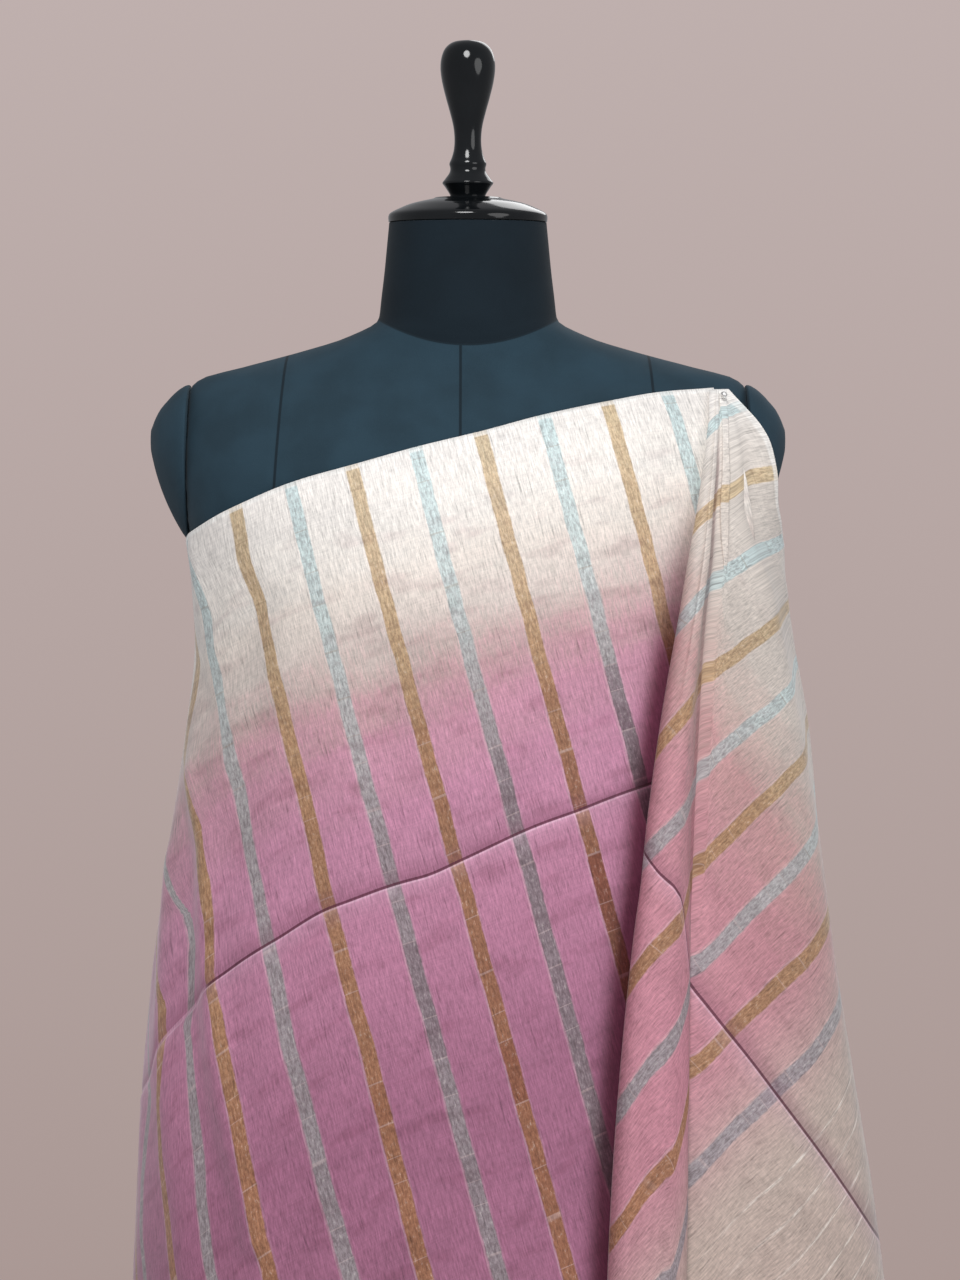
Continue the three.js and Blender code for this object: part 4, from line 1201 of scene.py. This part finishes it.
def lay_cloth(name, grid, silk_name, settings, closed=False):
    """Makes one stretch of the saree from its grid, with its thickness, silk and place in the part."""
    piece = cloth_grid(name, *grid)
    if closed:
        close_round(piece)
    finish_cloth(piece, settings.thickness)
    material = bpy.data.materials.get(silk_name) or silk(silk_name, settings)
    belongs(piece, ["saree_" + name], material)
    return piece


def lay_body_cloth(context, name, grid, closed=False):
    return lay_cloth(name, grid, "body_silk", context.scene.saree_cloth, closed)


class SAREE_OT_front_sweep(bpy.types.Operator):
    """Drape the front sweep from the left side up to the shoulder pin"""

    bl_idname = "saree.front_sweep"
    bl_label = "Front sweep"

    def execute(self, context):
        sweep = lay_body_cloth(context, "front_sweep", front_sweep_grid())
        return {"FINISHED"}


class SAREE_OT_back_wrap(bpy.types.Operator):
    """Lay the second round across the back and the right side"""

    bl_idname = "saree.back_wrap"
    bl_label = "Back wrap"

    def execute(self, context):
        wrap = lay_body_cloth(context, "back_wrap", back_wrap_grid())
        return {"FINISHED"}


class SAREE_OT_skirt(bpy.types.Operator):
    """Add the first round of the skirt and the front pleats"""

    bl_idname = "saree.skirt"
    bl_label = "Skirt and pleats"

    def execute(self, context):
        skirt = lay_body_cloth(context, "skirt_wrap", skirt_wrap_grid(), closed=True)
        pleats = lay_body_cloth(context, "front_pleats", front_pleats_grid())
        return {"FINISHED"}


class SAREE_OT_shoulder_fall(bpy.types.Operator):
    """Hang the end of the saree from the shoulder, with its folded edge, and add the pin"""

    bl_idname = "saree.shoulder_fall"
    bl_label = "Shoulder fall and pin"

    def execute(self, context):
        settings = context.scene.saree_cloth
        fall = lay_cloth("shoulder_fall", shoulder_fall_grid(), "fall_silk", settings)
        x, y, z = (float(c) / 1000 for c in DRAPE_LEVELS.at(PIN_ALONG - 2, PIN_HEIGHT - 4, 12.4))
        bpy.ops.object.select_all(action="DESELECT")
        bpy.ops.mesh.primitive_uv_sphere_add(segments=24, ring_count=14, radius=0.0022, location=(x, y, z))
        pin = context.object
        pin.name = "shoulder_pin_head"
        bpy.ops.object.transform_apply(location=True, rotation=False, scale=False)
        bpy.ops.object.shade_smooth()
        steel = hard_finish("pin_steel", (0.8, 0.78, 0.76), 0.4, metallic=1.0)
        belongs(pin, ["shoulder_pin"], steel)
        return {"FINISHED"}


class SAREE_PT_panel(bpy.types.Panel):
    """Buttons and sizes of the draped saree"""

    bl_idname = "SAREE_PT_panel"
    bl_label = "Draped saree"
    bl_space_type = "VIEW_3D"
    bl_region_type = "UI"
    bl_category = "Saree"

    def draw(self, context):
        layout = self.layout
        for group in (context.scene.saree_cloth, context.scene.saree_form, context.scene.saree_stage):
            for name in group.__annotations__:
                layout.prop(group, name)
        for operator in OPERATORS:
            layout.operator(operator.bl_idname)


OPERATORS = (SAREE_OT_stage, SAREE_OT_torso, SAREE_OT_stand, SAREE_OT_skirt, SAREE_OT_back_wrap,
             SAREE_OT_front_sweep, SAREE_OT_shoulder_fall)
CLASSES = (SareeClothSettings, SareeFormSettings, SareeStageSettings) + OPERATORS + (SAREE_PT_panel,)


def register():
    for cls in CLASSES:
        bpy.utils.register_class(cls)
    bpy.types.Scene.saree_cloth = PointerProperty(type=SareeClothSettings)
    bpy.types.Scene.saree_form = PointerProperty(type=SareeFormSettings)
    bpy.types.Scene.saree_stage = PointerProperty(type=SareeStageSettings)


def unregister():
    del bpy.types.Scene.saree_stage, bpy.types.Scene.saree_form, bpy.types.Scene.saree_cloth
    for cls in reversed(CLASSES):
        bpy.utils.unregister_class(cls)


def main():
    register()
    bpy.ops.saree.stage()
    bpy.ops.saree.torso()
    bpy.ops.saree.stand()
    bpy.ops.saree.skirt()
    bpy.ops.saree.back_wrap()
    bpy.ops.saree.front_sweep()
    bpy.ops.saree.shoulder_fall()


if __name__ == "__main__":
    main()
